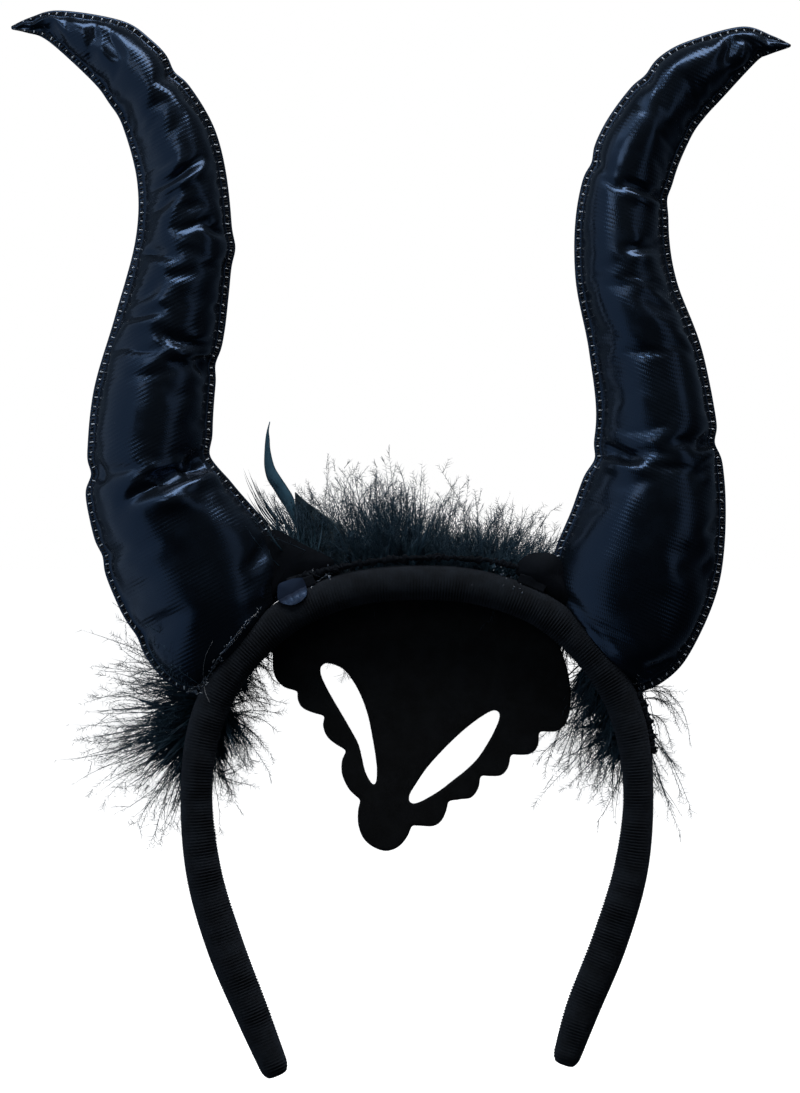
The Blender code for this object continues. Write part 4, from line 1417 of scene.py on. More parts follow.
    def strands(self, tufts: tuple, kind: StrandKind, chance: np.random.Generator) -> tuple:
        """Fan strands out of every tuft and draw them together again towards its tip.

        Args:
            tufts: What tufts() chose.
            kind: How many strands each has, and of what size.
            chance: The stretch's own random numbers.

        Returns:
            The strands' lines and radii.
        """
        count = len(tufts[0])
        sweep = perpendicular(tufts[1], chance) * chance.uniform(0.05, 0.36, (count, 1))
        sweep[:, 2] -= 0.06
        root, way, length, cord_way, sweep = (np.repeat(part, kind.per_tuft, axis=0)
                                              for part in (*tufts, sweep))
        count = len(root)
        along = chance.uniform(-self.root_stray, self.root_stray, (count, 1))
        root = root + cord_way * along
        root = root + chance.normal(0.0, 0.5, root.shape)
        stray = chance.normal(0.0, kind.spread, way.shape)
        length = (length * chance.uniform(*kind.reach, count))[:, None, None]
        steps = np.linspace(0.0, 1.0, kind.stations)[None, :, None]
        lines = (root[:, None] + way[:, None] * length * steps
                 + stray[:, None] * length * (steps - 0.42 * steps ** 2)
                 + sweep[:, None] * length * steps ** 2)
        phase = chance.uniform(0.0, 6.28, (count, 1, 1))
        ripple = perpendicular(way, chance)[:, None] * length
        lines = lines + ripple * 0.016 * np.sin(steps * 8.0 + phase) * steps
        least = self.thinnest / kind.radius
        taper = np.linspace(1.0, 0.0, kind.stations - 1)[None] ** 1.5 * (1 - least) + least
        return lines, kind.radius * taper * chance.uniform(0.75, 1.2, (count, 1))

    def barbs(self, lines: np.ndarray, count: int, length: float, lean_deg: float,
              stations: int, chance: np.random.Generator) -> tuple:
        """Grow barbs off both sides of every strand, in one plane and slightly curved.

        Args:
            lines: The strands' lines.
            count: Barbs on each strand.
            length: A barb's usual length.
            lean_deg: Its usual angle to the strand.
            stations: Its stations.
            chance: The stretch's own random numbers.

        Returns:
            The barbs' lines, and how far along their strand they stand.
        """
        strands, stops = lines.shape[:2]
        even = np.linspace(0.24, 0.985, count)[None]
        share = even + chance.uniform(-0.4, 0.4, (strands, count)) / count
        at = np.clip(share, 0.02, 0.99) * (stops - 1)
        low = np.minimum(at.astype(int), stops - 2)
        part = (at - low)[:, :, None]
        rows = np.arange(strands)[:, None]
        start = lines[rows, low] * (1 - part) + lines[rows, low + 1] * part
        way = lines[rows, low + 1] - lines[rows, low]
        way /= np.linalg.norm(way, axis=2)[:, :, None] + 1e-9
        flat = perpendicular(way[:, :1], chance)
        side = flat - way * (flat * way).sum(axis=2, keepdims=True)
        turns = np.where(np.arange(count) % 2 == 0, 1.0, -1.0)[None, :, None]
        side = side * turns + chance.normal(0.0, 0.28, side.shape)
        lean = np.radians(chance.normal(lean_deg, 9.0, (strands, count, 1)))
        reach = length * (1.06 - 0.56 * share) * chance.uniform(0.6, 1.15, share.shape)
        steps = np.linspace(0.0, 1.0, stations)[None, None, :, None]
        toward = way * np.cos(lean) + side * np.sin(lean)
        barbs = (start[:, :, None] + toward[:, :, None] * reach[:, :, None, None] * steps
                 + way[:, :, None] * reach[:, :, None, None] * 0.12 * steps ** 2)
        return barbs.reshape(-1, stations, 3), share.ravel()

    def before_felt(self, lines: np.ndarray) -> np.ndarray:
        """Keep strands in front of the band and of the felt.

        Args:
            lines: The strands' lines.

        Returns:
            The lines, drawn forward where they would pass through.
        """
        points = lines.reshape(-1, 3).copy()
        places, outward, thickness = self.band.frames(161)
        apart = points[:, None, (0, 2)] - places[None]
        nearest = np.linalg.norm(apart, axis=2).argmin(axis=1)
        picked = apart[np.arange(len(points)), nearest]
        radial = (picked * outward[nearest]).sum(axis=1)
        inside = np.abs(radial) < thickness[nearest] / 2 + 0.3
        points[inside, 1] = np.maximum(points[inside, 1], self.band.depth / 2 + 0.5)
        over = ((radial < thickness[nearest] / 2) & (points[:, 2] > self.felt_top)
                & (points[:, 0] > self.felt_from) & (points[:, 0] < self.felt_to + 2.0))
        front = self.felt.back(points[:, 0], points[:, 2]) + self.felt.thickness + 0.6
        points[over, 1] = np.maximum(points[over, 1], front[over])
        return points.reshape(lines.shape)

    def bundles(self, plumes: np.ndarray, plume_radii: np.ndarray, wisps: np.ndarray,
                wisp_radii: np.ndarray, chance: np.random.Generator) -> list[tuple]:
        """Dress plumes and wisps with branches and barbules.

        Args:
            plumes: The plumes' lines.
            plume_radii: Their radii.
            wisps: The wisps' lines.
            wisp_radii: Their radii.
            chance: The stretch's own random numbers.

        Returns:
            Bundles for strands_piece().
        """
        branches, place_on = self.barbs(plumes, 2, self.branch_length, self.branch_lean, 4,
                                        chance)
        branch_radii = np.repeat(np.array([[1.0, 0.75, 0.45]]) * self.branch_radius,
                                 len(branches), axis=0)
        found = [(plumes, plume_radii, np.full(len(plumes), -1.0)),
                 (wisps, wisp_radii, np.full(len(wisps), -1.0)),
                 (branches, branch_radii, np.clip(place_on + 0.15, 0.0, 1.0))]
        for lines, count, length in ((plumes, 34, self.barbule_length),
                                     (branches, 8, self.barbule_length * 0.8),
                                     (wisps, 6, self.barbule_length)):
            barbules, share = self.barbs(lines, count, length, self.barbule_lean, 2, chance)
            radii = np.full((len(barbules), 1), self.barbule_radius)
            found.append((barbules, radii, np.clip(share + 0.1, 0.0, 1.0)))
        return found

    def build_piece(self, name: str, begin: float, end: float, count: int,
                    outward_share: float, inner_angle: float, seed: int) -> bpy.types.Object:
        """Build the down of one stretch.

        Args:
            name: The piece's name.
            begin: Where the stretch begins along the boa.
            end: Where it ends.
            count: How many tufts it has.
            outward_share: The share of them that stand outward.
            inner_angle: The least angle of the others, in degrees from outward.
            seed: The seed of its random numbers.

        Returns:
            The piece.
        """
        chance = np.random.default_rng(seed)
        tufts = self.tufts(begin, end, count, outward_share, inner_angle, chance)
        plumes, plume_radii = self.strands(tufts, self.plume, chance)
        wisps, wisp_radii = self.strands(tufts, self.wisp, chance)
        locks, _ = self.strands(tufts, self.lock, chance)
        swell = np.sin(np.linspace(0.22, 0.94, self.lock.stations - 1) * math.pi)
        lock_radii = np.repeat(swell[None] * self.lock.radius, len(locks), axis=0)
        return strands_piece(name, [
            *self.bundles(self.before_felt(plumes), plume_radii, self.before_felt(wisps),
                          wisp_radii, chance),
            (self.before_felt(locks), lock_radii, np.full(len(locks), -1.0))])

    def build_accents(self) -> bpy.types.Object:
        """Build the single plumes and strands that stand clear, and the dark clumps."""
        chance = np.random.default_rng(31)
        steps = np.linspace(0.0, 1.0, self.plume.stations)[:, None]
        plumes = self.drawn(self.accents, 2, 0.9, chance)
        clumps = []
        for column, row, tip_column, tip_row, depth, count, spread in self.clumps:
            root, tip = np.array(at_pixel(column, row)), np.array(at_pixel(tip_column, tip_row))
            root = np.array((root[0], depth, root[1])) + chance.normal(0, 1.2, (count, 3))
            tip = np.array((tip[0], depth, tip[1])) + chance.normal(0, spread, (count, 3))
            bend = chance.normal(0.0, 1.0, (count, 1, 3))
            clumps.append(root[:, None] + (tip - root)[:, None] * steps
                          + bend * np.sin(steps * math.pi))
        wisps = np.concatenate(clumps)
        plain = self.drawn(self.plain, 2, 0.5, chance)
        return strands_piece("boa_single_plumes", [
            *self.bundles(plumes, tapered(plumes, 0.16, 0.08), wisps,
                          tapered(wisps, 0.42, 0.10), chance),
            (plain, tapered(plain, 0.26, 0.07), np.full(len(plain), 0.7))])

    def drawn(self, table: tuple, twins: int, stray: float,
              chance: np.random.Generator) -> np.ndarray:
        """Draw curves through root, middle and tip pixels, with shorter ones beside them.

        Args:
            table: Rows of the accents or plain table.
            twins: Curves for each row.
            stray: How far a shorter curve's tip strays.
            chance: Random numbers.

        Returns:
            The curves' lines.
        """
        steps = np.linspace(0.0, 1.0, self.plume.stations)[:, None]
        lines = []
        for *pixels, depth in table:
            root, middle, tip = (np.array(at_pixel(*pixels[index:index + 2]))
                                 for index in (0, 2, 4))
            control = 2 * middle - (root + tip) / 2
            flat = ((1 - steps) ** 2 * root + 2 * steps * (1 - steps) * control
                    + steps ** 2 * tip)
            line = np.column_stack([flat[:, 0], np.full(len(steps), depth), flat[:, 1]])
            for twin in range(twins):
                away = chance.normal(0.0, stray, 3) * steps * min(twin, 1)
                lines.append(line[:1] + (line - line[:1]) * (1.0 - 0.2 * twin) + away)
        return np.array(lines)

    def dress(self) -> None:
        """Build every stretch of the down and finish it."""
        down = Down().make()
        for name, node, *stretch in self.pieces:
            piece = self.build_piece(name, *stretch)
            finish_piece(piece, Slot.MARABOU, [down], node)
        finish_piece(self.build_accents(), Slot.MARABOU, [down])


# The stuffed horns


@dataclass
class Horn:
    """One stuffed horn of patent vinyl: two panels, a flat seam all round and its stitches."""

    name: str
    node: str
    sections: tuple
    puckers: tuple
    creases: tuple
    grain_slant: float
    seed: float
    stations: int = 150
    across: int = 14
    flange_width: float = 2.2
    flange_thickness: float = 1.2
    middle_y: float = 0.5
    stitch_pitch: float = 2.55
    stitch_width: float = 0.34
    stitch_height: float = 0.30
    loop_pitch: float = 0.88
    enlargement: float = 8.0
    stuffing_frames: int = 20
    stuffing_limit: float = 2.4

    def pucker(self, edge: int, z: float) -> float:
        """How far the seam is drawn in at a height."""
        return sum(depth * math.exp(-((z - at_z) / half_width) ** 2)
                   for on_edge, at_z, depth, half_width in self.puckers if on_edge == edge)

    def seam(self, row: np.ndarray) -> tuple:
        """The two seam edges of one section.

        Args:
            row: A row of the sections table.

        Returns:
            The crown edge, the outer edge, the way from the first to the second, and the
            flange's width and half thickness.
        """
        crown = row[0:2]
        outer = row[2:4]
        across = (outer - crown) / np.linalg.norm(outer - crown)
        crown = crown + across * self.pucker(0, crown[1])
        outer = outer - across * self.pucker(1, outer[1])
        width = np.linalg.norm(outer - crown)
        flange = min(self.flange_width, width * 0.22)
        return crown, outer, across, flange, min(self.flange_thickness, row[4]) / 2

    def ring(self, row: np.ndarray) -> tuple[list, list]:
        """One closed section: a flange at each seam and a stuffed panel on each side.

        Args:
            row: A row of the sections table.

        Returns:
            The points in millimetres, and how far across each is: -1 and 1 where the panel
            meets a seam, and beyond that on the flange.
        """
        crown, outer, across, flange, half_flange = self.seam(row)
        width = np.linalg.norm(outer - crown)
        points = []
        leans = []
        for side in SIDES:
            panel = [(crown, half_flange, -1.2), (crown + across * flange * 0.5, half_flange, -1.1),
                     (crown + across * flange, half_flange, -1.0)]
            for step in range(1, self.across):
                lean = -math.cos(math.pi * step / self.across)
                spot = (crown + outer) / 2 + across * lean * (width / 2 - flange)
                rise = (1 - abs(lean) ** 2.3) ** 0.72 * max(0.0, row[4] / 2 - half_flange)
                panel.append((spot, half_flange + max(0.1, rise), lean))
            panel += [(outer - across * flange, half_flange, 1.0),
                      (outer - across * flange * 0.5, half_flange, 1.1),
                      (outer, half_flange, 1.2)]
            if side == Side.FRONT.value:
                panel.reverse()
            points += [(spot[0], self.middle_y + side * height, spot[1])
                       for spot, height, _ in panel]
            leans += [lean for _, _, lean in panel]
        return points, leans

    def loft(self) -> bpy.types.Object:
        """Loft the sections into a closed skin that knows how far across each vertex is."""
        rows = spline(self.sections, self.stations)
        rings = [self.ring(row) for row in rows]
        size = len(rings[0][0])
        points = np.array([point for ring, _ in rings for point in ring]
                          + [np.mean(rings[end][0], axis=0) for end in (0, -1)])
        leans = np.array([lean for _, ring in rings for lean in ring] + [0.0, 0.0])
        quads = []
        triangles = []
        first_pole = self.stations * size
        for side in range(size):
            following = (side + 1) % size
            for station in range(self.stations - 1):
                quads.append((station * size + side, (station + 1) * size + side,
                              (station + 1) * size + following, station * size + following))
            last = (self.stations - 1) * size
            triangles.append((first_pole, side, following))
            triangles.append((first_pole + 1, last + following, last + side))
        skin = array_mesh(self.name, points * MM, np.array(quads), np.array(triangles))
        set_attribute(skin, "across", leans)
        face_outwards(skin)
        return skin

    def stuff(self, skin: bpy.types.Object) -> None:
        """Press stuffing out against the vinyl, with the seam, the tip and the foot held.

        Args:
            skin: The lofted skin, which is changed.
        """
        before = coordinates(skin)
        size = 2 * (self.across + 5)
        held = [index for index, lean in enumerate(attribute(skin, "across"))
                if abs(lean) > 0.995 or index < 3 * size or index >= (self.stations - 3) * size]
        place(skin, before * self.enlargement)
        group = skin.vertex_groups.new(name="seam")
        group.add(held, 1.0, "REPLACE")
        activate(skin)
        cloth = skin.modifiers.new("stuffing", "CLOTH")
        settings = cloth.settings
        settings.quality = 5
        settings.mass = 0.3
        settings.tension_stiffness = 14.0
        settings.compression_stiffness = 14.0
        settings.shear_stiffness = 6.0
        settings.bending_stiffness = 0.5
        settings.shrink_min = -0.05
        settings.use_pressure = True
        settings.uniform_pressure_force = 4.0
        settings.vertex_group_mass = "seam"
        settings.effector_weights.gravity = 0.0
        cloth.collision_settings.use_collision = False
        cloth.collision_settings.use_self_collision = False
        scene = bpy.context.scene
        for step in range(1, self.stuffing_frames + 1):
            scene.frame_set(step)
        bpy.ops.object.modifier_apply(modifier=cloth.name)
        scene.frame_set(1)
        skin.vertex_groups.clear()
        moved = coordinates(skin) / self.enlargement - before
        far = np.linalg.norm(moved, axis=1) + 1e-12
        limit = self.stuffing_limit * MM
        moved *= (limit * np.tanh(far / limit) / far)[:, None]
        LOG.info("%s: stuffing moved the vinyl up to %.2f mm", self.name, far.max() / MM)
        place(skin, before + moved)

    def crease(self, skin: bpy.types.Object) -> None:
        """Press the folds, the seam's puckers and the stuffing's lumps into the vinyl.

        Args:
            skin: The skin, which is changed.
        """
        points = coordinates(skin) / MM
        lean = attribute(skin, "across")
        facing = normals(skin)
        side = np.where(points[:, 1] < self.middle_y, *SIDES)
        inside = smooth_step(0.0, 0.10, 1.0 - np.abs(lean))
        sink = np.zeros(len(points))
        for x, z, slant, length, half_width, depth, bow, ridge, on_side in self.creases:
            turn = math.radians(slant)
            along = (points[:, 0] - x) * math.cos(turn) + (points[:, 2] - z) * math.sin(turn)
            over = -(points[:, 0] - x) * math.sin(turn) + (points[:, 2] - z) * math.cos(turn)
            over = over - bow * (2 * along / length) ** 2
            fade = np.clip(1.0 - (2 * along / length) ** 2, 0.0, 1.0)
            valley = np.exp(-(over / half_width) ** 2)
            swell = np.exp(-((over + 1.9 * half_width) / (1.2 * half_width)) ** 2)
            pressed = depth * fade * (valley - ridge * swell)
            sink += np.where(side == on_side, pressed, 0.0)
        near_seam = np.exp(-(1.0 - np.abs(lean)) * 7.0) * inside
        gathers = noise_at(points * (1.0, 0.25, 1.0), 3.6, self.seed) * 0.22 * near_seam
        lumps = noise_at(points, 17.0, self.seed + 3) * 0.50 * inside
        small = noise_at(points * (0.6, 1.0, 1.6), 6.5, self.seed + 7) * 0.08 * inside
        flange = np.clip(np.abs(lean) - 1.0, 0.0, 1.0) * 5
        wavy = noise_at(points, 5.0, self.seed + 11) * 0.25 * flange
        moved = facing * (gathers + lumps + small - sink * inside)[:, None]
        moved[:, 1] += wavy
        place(skin, (points + moved) * MM)

    def mark_flange(self, skin: bpy.types.Object) -> None:
        """Give the flange's faces the seam's material number."""
        lean = np.abs(attribute(skin, "across"))
        for face in skin.data.polygons:
            outside = sum(lean[index] for index in face.vertices) / len(face.vertices) > 1.02
            face.material_index = 1 if outside else 0

    def seat(self, skin: bpy.types.Object, cutter: bpy.types.Object) -> None:
        """Cut the foot to the band that it is glued on."""
        cut = skin.modifiers.new("seat", "BOOLEAN")
        cut.operation = "DIFFERENCE"
        cut.solver = "EXACT"
        cut.object = cutter
        apply_modifiers(skin)

    def build(self, cutter: bpy.types.Object) -> bpy.types.Object:
        """Build the horn.

        Args:
            cutter: The band, grown by the gap.

        Returns:
            The finished skin.
        """
        skin = self.loft()
        self.stuff(skin)
        finer = skin.modifiers.new("finer", "SUBSURF")
        finer.levels = 1
        finer.render_levels = 1
        apply_modifiers(skin)
        self.crease(skin)
        self.mark_flange(skin)
        self.seat(skin, cutter)
        skin.data.shade_smooth()
        return skin

    def seam_places(self, edge: int, pitch: float, jitter: float, band: Headband,
                    chance: np.random.Generator) -> list[tuple]:
        """Read evenly spaced places along one seam edge, off the band.

        Args:
            edge: 0 for the crown edge and 1 for the outer one.
            pitch: The distance between places.
            jitter: How far a place may stray, as a share of the pitch.
            band: The band, near which there are no stitches.
            chance: The horn's own random numbers.

        Returns:
            The edge's point, the way in from it, the way along it, and the flange's width
            and half thickness, for each place.
        """
        rows = spline(self.sections, 500)
        seams = [self.seam(row) for row in rows]
        edges = np.array([seam[edge] for seam in seams])
        inward = np.array([seam[2] * (1 if edge == 0 else -1) for seam in seams])
        sizes = np.array([seam[3:5] for seam in seams])
        walked = walked_along(edges)
        spots = np.arange(1.2, walked[-1], pitch)
        spots = spots + chance.uniform(-jitter, jitter, len(spots)) * pitch
        found = []
        for spot in spots:
            point = [np.interp(spot, walked, edges[:, axis]) for axis in (0, 1)]
            ahead = [np.interp(spot + 0.5, walked, edges[:, axis]) for axis in (0, 1)]
            along = Vector((ahead[0] - point[0], 0.0, ahead[1] - point[1]))
            if along.length < 1e-6 or band.clearance(*point) < 0.6:
                continue
            way = [np.interp(spot, walked, inward[:, axis]) for axis in (0, 1)]
            way = Vector((way[0], 0.0, way[1]))
            along.normalize()
            way = (way - along * way.dot(along)).normalized()
            size = [np.interp(spot, walked, sizes[:, axis]) for axis in (0, 1)]
            found.append((Vector((point[0], self.middle_y, point[1])), way, along, *size))
        return found

    def dash_model(self) -> bpy.types.Object:
        """Model one short pale stitch, a rounded bar along X, 1 mm long."""
        deselect_all()
        bpy.ops.mesh.primitive_cylinder_add(vertices=6, radius=0.5, depth=1.0,
                                            end_fill_type="TRIFAN",
                                            rotation=(0.0, math.pi / 2, 0.0))
        model = bpy.context.object
        bpy.ops.object.transform_apply(location=False, rotation=True, scale=True)
        points = coordinates(model)
        tips = np.hypot(points[:, 1], points[:, 2]) < 0.01
        points[tips, 0] *= 1.35
        place(model, points)
        return model

    def loop_model(self) -> bpy.types.Object:
        """Model one thread that is wrapped round the edge, by spinning a small ring."""
        deselect_all()
        bpy.ops.mesh.primitive_circle_add(vertices=5, radius=0.14, fill_type="NGON",
                                          location=(0.0, 1.0, 0.0))
        model = bpy.context.object
        bpy.ops.object.transform_apply(location=True, rotation=True, scale=True)
        points = coordinates(model)
        place(model, np.column_stack([points[:, 2], points[:, 1], points[:, 0]]))
        bpy.ops.object.mode_set(mode="EDIT")
        bpy.ops.mesh.select_all(action="SELECT")
        bpy.ops.mesh.spin(steps=5, angle=math.radians(200.0), center=(0.0, 0.0, 0.0),
                          axis=(0.0, 0.0, 1.0), dupli=False)
        bpy.ops.object.mode_set(mode="OBJECT")
        face_outwards(model)
        return model

    def build_dashes(self, band: Headband) -> bpy.types.Object:
        """Lay the pale stitches on both faces of the seam.

        Args:
            band: The band, near which there are none.

        Returns:
            The stitches, as one piece.
        """
        chance = np.random.default_rng(int(self.seed) + 40)
        places = []
        for edge in (0, 1):
            for spot, way, along, flange, half in self.seam_places(
                    edge, self.stitch_pitch, 0.10, band, chance):
                for side in SIDES:
                    lean = math.radians(chance.normal(8.0 * side, 9.0))
                    direction = way * math.cos(lean) + along * math.sin(lean)
                    up = Vector((0.0, side, 0.0))
                    size = flange * chance.uniform(0.22, 0.42)
                    centre = spot + way * flange * chance.uniform(0.50, 0.60)
                    centre += up * (half + 0.16)
                    turn = Matrix((direction * size, up.cross(direction) * self.stitch_width,
                                   up * self.stitch_height)).transposed().to_4x4()
                    places.append(stood(centre, turn))
        return joined_copies(self.name + "_stitches", self.dash_model(), places)

    def build_loops(self, band: Headband) -> bpy.types.Object:
        """Wrap the black thread over the edge of the seam.

        Args:
            band: The band, near which there is none.

        Returns:
            The thread, as one piece.
        """
        chance = np.random.default_rng(int(self.seed) + 60)
        places = []
        for edge in (0, 1):
            for spot, way, along, flange, half in self.seam_places(
                    edge, self.loop_pitch, 0.16, band, chance):
                lean = math.radians(chance.normal(6.0, 8.0))
                slanted = (along * math.cos(lean) + way * math.sin(lean)).normalized()
                reach = 0.55 * flange * chance.uniform(0.9, 1.15)
                thick = half + 0.12
                centre = spot + way * (reach * 0.80)
                turn = Matrix((way * reach, Vector((0.0, thick, 0.0)),
                               slanted)).transposed().to_4x4()
                places.append(stood(centre, turn))
        return joined_copies(self.name + "_edging", self.loop_model(), places)

    def dress(self, band: Headband, cutter: bpy.types.Object) -> bpy.types.Object:
        """Build the horn with its seam, and finish it.

        Args:
            band: The band that the foot sits on.
            cutter: The band, grown by the gap.

        Returns:
            The skin.
        """
        vinyl = PatentVinyl(name=self.name + "_vinyl", grain_slant=self.grain_slant).make()
        skin = self.build(cutter)
        finish_piece(skin, Slot.VINYL, [vinyl, made_once(SeamEdge())], self.node)
        pale = made_once(SewingThread("pale_stitch", (0.70, 0.78, 0.88)))
        black = made_once(SewingThread("black_thread", (0.002, 0.002, 0.003), 0.7))
        finish_piece(self.build_dashes(band), Slot.VINYL, [pale])
        finish_piece(self.build_loops(band), Slot.VINYL, [black])
        return skin


def left_horn() -> Horn:
    """The horn on the left as the headband is seen from the back."""
    return Horn(
        name="horn_left_skin", node="horn_left", grain_slant=math.radians(28.0), seed=1.0,
        sections=(
            # crown_x, crown_z, outer_x, outer_z, thickness
            (-114.4, 160.6, -114.2, 159.8, 1.4),
            (-108.9, 163.2, -109.8, 158.8, 3.4),
            (-100.5, 165.2, -103.9, 156.5, 7.0),
            (-83.4, 162.4, -91.6, 145.3, 14.0),
            (-75.2, 157.2, -87.0, 139.3, 16.5),
            (-67.8, 149.0, -83.0, 132.5, 18.5),
            (-56.6, 130.5, -79.0, 117.0, 21.5),
            (-52.4, 104.7, -79.5, 100.8, 23.0),
            (-53.8, 79.8, -85.1, 79.8, 25.0),
            (-57.1, 58.2, -91.3, 58.2, 26.5),
            (-57.2, 40.6, -93.2, 37.4, 27.0),
            (-51.8, 32.2, -93.0, 25.8, 28.0),
            (-41.2, 19.6, -87.4, 5.6, 27.0),
            (-38.4, 10.0, -77.6, -14.6, 22.0),
            (-38.9, 4.2, -69.2, -24.1, 16.5),
            (-39.6, -2.6, -60.2, -27.2, 11.6),
        ),
        puckers=(
            # edge, z, depth, half_width
            (0, 149.0, 1.2, 2.4),
            (0, 98.5, -1.0, 3.5),
            (0, 66.0, 1.0, 3.0),
            (0, 41.0, 1.4, 3.0),
            (1, 35.0, 1.6, 2.6),
            (1, 12.0, 1.0, 2.6),
            (1, -10.5, 1.2, 2.4),
        ),
        creases=(
            # x, z, slant_deg, length, half_width, depth, bow, ridge, side
            (-85.5, 155.0, -62.0, 12.0, 1.9, 1.6, 0.8, 0.35, -1),
            (-90.5, 157.5, -72.0, 8.0, 1.4, 0.9, 0.5, 0.30, -1),
            (-66.6, 118.4, 32.0, 19.0, 1.3, 2.0, 0.9, 0.55, -1),
            (-70.5, 111.0, 42.0, 12.0, 1.7, 1.2, 0.5, 0.40, -1),
            (-63.0, 109.5, 18.0, 9.0, 1.6, 0.8, 0.0, 0.40, -1),
            (-57.5, 103.5, -35.0, 9.0, 1.3, 1.3, 0.6, 0.50, -1),
            (-71.5, 96.0, -12.0, 12.0, 1.5, 1.1, 0.6, 0.40, -1),
            (-65.5, 90.5, 10.0, 12.0, 1.6, 0.8, 0.4, 0.40, -1),
            (-74.5, 86.0, 48.0, 10.0, 1.8, 1.2, 0.5, 0.40, -1),
            (-76.6, 79.5, 12.0, 14.0, 1.4, 1.6, 0.5, 0.50, -1),
            (-65.0, 71.5, -12.0, 17.0, 1.5, 1.9, 2.4, 0.60, -1),
            (-60.5, 65.5, -52.0, 9.0, 2.0, 1.8, 0.5, 0.30, -1),
            (-69.0, 34.4, 27.0, 34.0, 2.2, 3.8, -0.8, 0.35, -1),
            (-60.5, 38.6, 16.0, 14.0, 2.8, 2.6, 0.0, 0.20, -1),
            (-66.8, 27.4, 6.0, 13.0, 2.2, -1.7, -1.0, 0.00, -1),
            (-90.4, 36.2, -60.0, 9.0, 2.0, 2.4, 0.4, 0.30, -1),
            (-87.5, 11.6, 24.0, 6.0, 1.2, 0.8, 0.2, 0.40, -1),
            (-80.5, -9.0, 30.0, 5.0, 1.1, 0.6, 0.2, 0.40, -1),
            (-44.5, 12.0, 60.0, 13.0, 2.0, 1.5, 0.8, 0.60, -1),
            (-66.0, 36.0, -16.0, 32.0, 2.4, 3.6, 0.8, 0.40, 1),
            (-70.0, 84.0, 18.0, 20.0, 1.8, 2.2, 0.8, 0.40, 1),
            (-66.0, 119.0, -28.0, 18.0, 1.6, 1.8, 0.6, 0.40, 1),
            (-73.0, 100.0, 30.0, 12.0, 1.5, 1.2, 0.6, 0.40, 1),
            (-62.0, 66.0, -10.0, 14.0, 1.6, 1.4, 1.2, 0.40, 1),
        ))


def right_horn() -> Horn:
    """The horn on the right as the headband is seen from the back."""
    return Horn(
        name="horn_right_skin", node="horn_right", grain_slant=math.radians(-24.0), seed=2.0,
        sections=(
            # crown_x, crown_z, outer_x, outer_z, thickness
            (104.2, 155.6, 104.0, 154.8, 1.4),
            (98.8, 158.2, 97.7, 152.6, 4.0),
            (90.4, 160.7, 94.4, 150.6, 8.0),
            (75.9, 156.8, 84.8, 140.3, 15.0),
            (68.2, 152.9, 80.2, 135.3, 17.0),
            (61.6, 146.5, 76.2, 129.5, 19.0),
            (51.0, 131.6, 71.4, 117.6, 22.0),
            (44.5, 112.0, 70.0, 104.7, 23.5),
            (43.7, 90.7, 72.2, 89.6, 25.0),
            (47.6, 69.4, 79.2, 70.6, 26.0),
            (49.4, 48.2, 83.7, 48.2, 27.0),
            (43.7, 28.0, 86.0, 26.3, 28.0),
            (38.4, 15.1, 84.0, 3.9, 26.5),
            (37.4, 8.4, 75.9, -15.1, 21.0),
            (38.4, 3.2, 68.6, -22.9, 16.0),
            (39.4, -3.0, 59.8, -27.0, 11.6),
        ),
        puckers=(
            # edge, z, depth, half_width
            (0, 148.0, 1.0, 2.4),
            (0, 123.0, 1.0, 2.6),
            (0, 39.5, 1.6, 3.0),
            (1, 112.0, 0.8, 3.0),
            (1, 44.0, 1.5, 2.8),
        ),
        creases=(
            # x, z, slant_deg, length, half_width, depth, bow, ridge, side
            (86.5, 153.0, 72.0, 10.0, 1.8, 1.7, 0.6, 0.50, -1),
            (62.5, 114.2, -18.0, 14.0, 1.4, 1.8, 0.8, 0.60, -1),
            (62.0, 98.0, 10.0, 12.0, 1.6, 1.4, 0.6, 0.50, -1),
            (66.0, 82.0, -38.0, 12.0, 2.2, 1.0, 0.5, 0.40, -1),
            (54.5, 41.0, -28.0, 15.0, 1.8, 2.6, 0.8, 0.60, -1),
            (59.0, 36.6, -12.0, 12.0, 1.8, -1.2, 0.4, 0.00, -1),
            (81.0, 44.6, 38.0, 11.0, 1.6, 2.4, 0.6, 0.60, -1),
            (79.0, 36.0, 38.0, 9.0, 1.4, 1.0, 0.5, 0.40, -1),
            (82.0, 19.6, 40.0, 7.0, 1.3, 0.9, 0.3, 0.40, -1),
            (80.5, 9.5, 40.0, 8.0, 1.3, 1.0, 0.3, 0.40, -1),
            (67.0, -18.6, 18.0, 10.0, 1.4, 1.5, 0.5, 0.40, -1),
            (64.0, 40.0, 14.0, 30.0, 2.4, 3.6, 0.8, 0.40, 1),
            (60.0, 84.0, -20.0, 20.0, 1.8, 2.2, 0.8, 0.40, 1),
            (62.0, 116.0, 26.0, 18.0, 1.6, 1.8, 0.6, 0.40, 1),
            (66.0, 62.0, -30.0, 13.0, 1.6, 1.3, 0.8, 0.40, 1),
        ))


# Small pieces


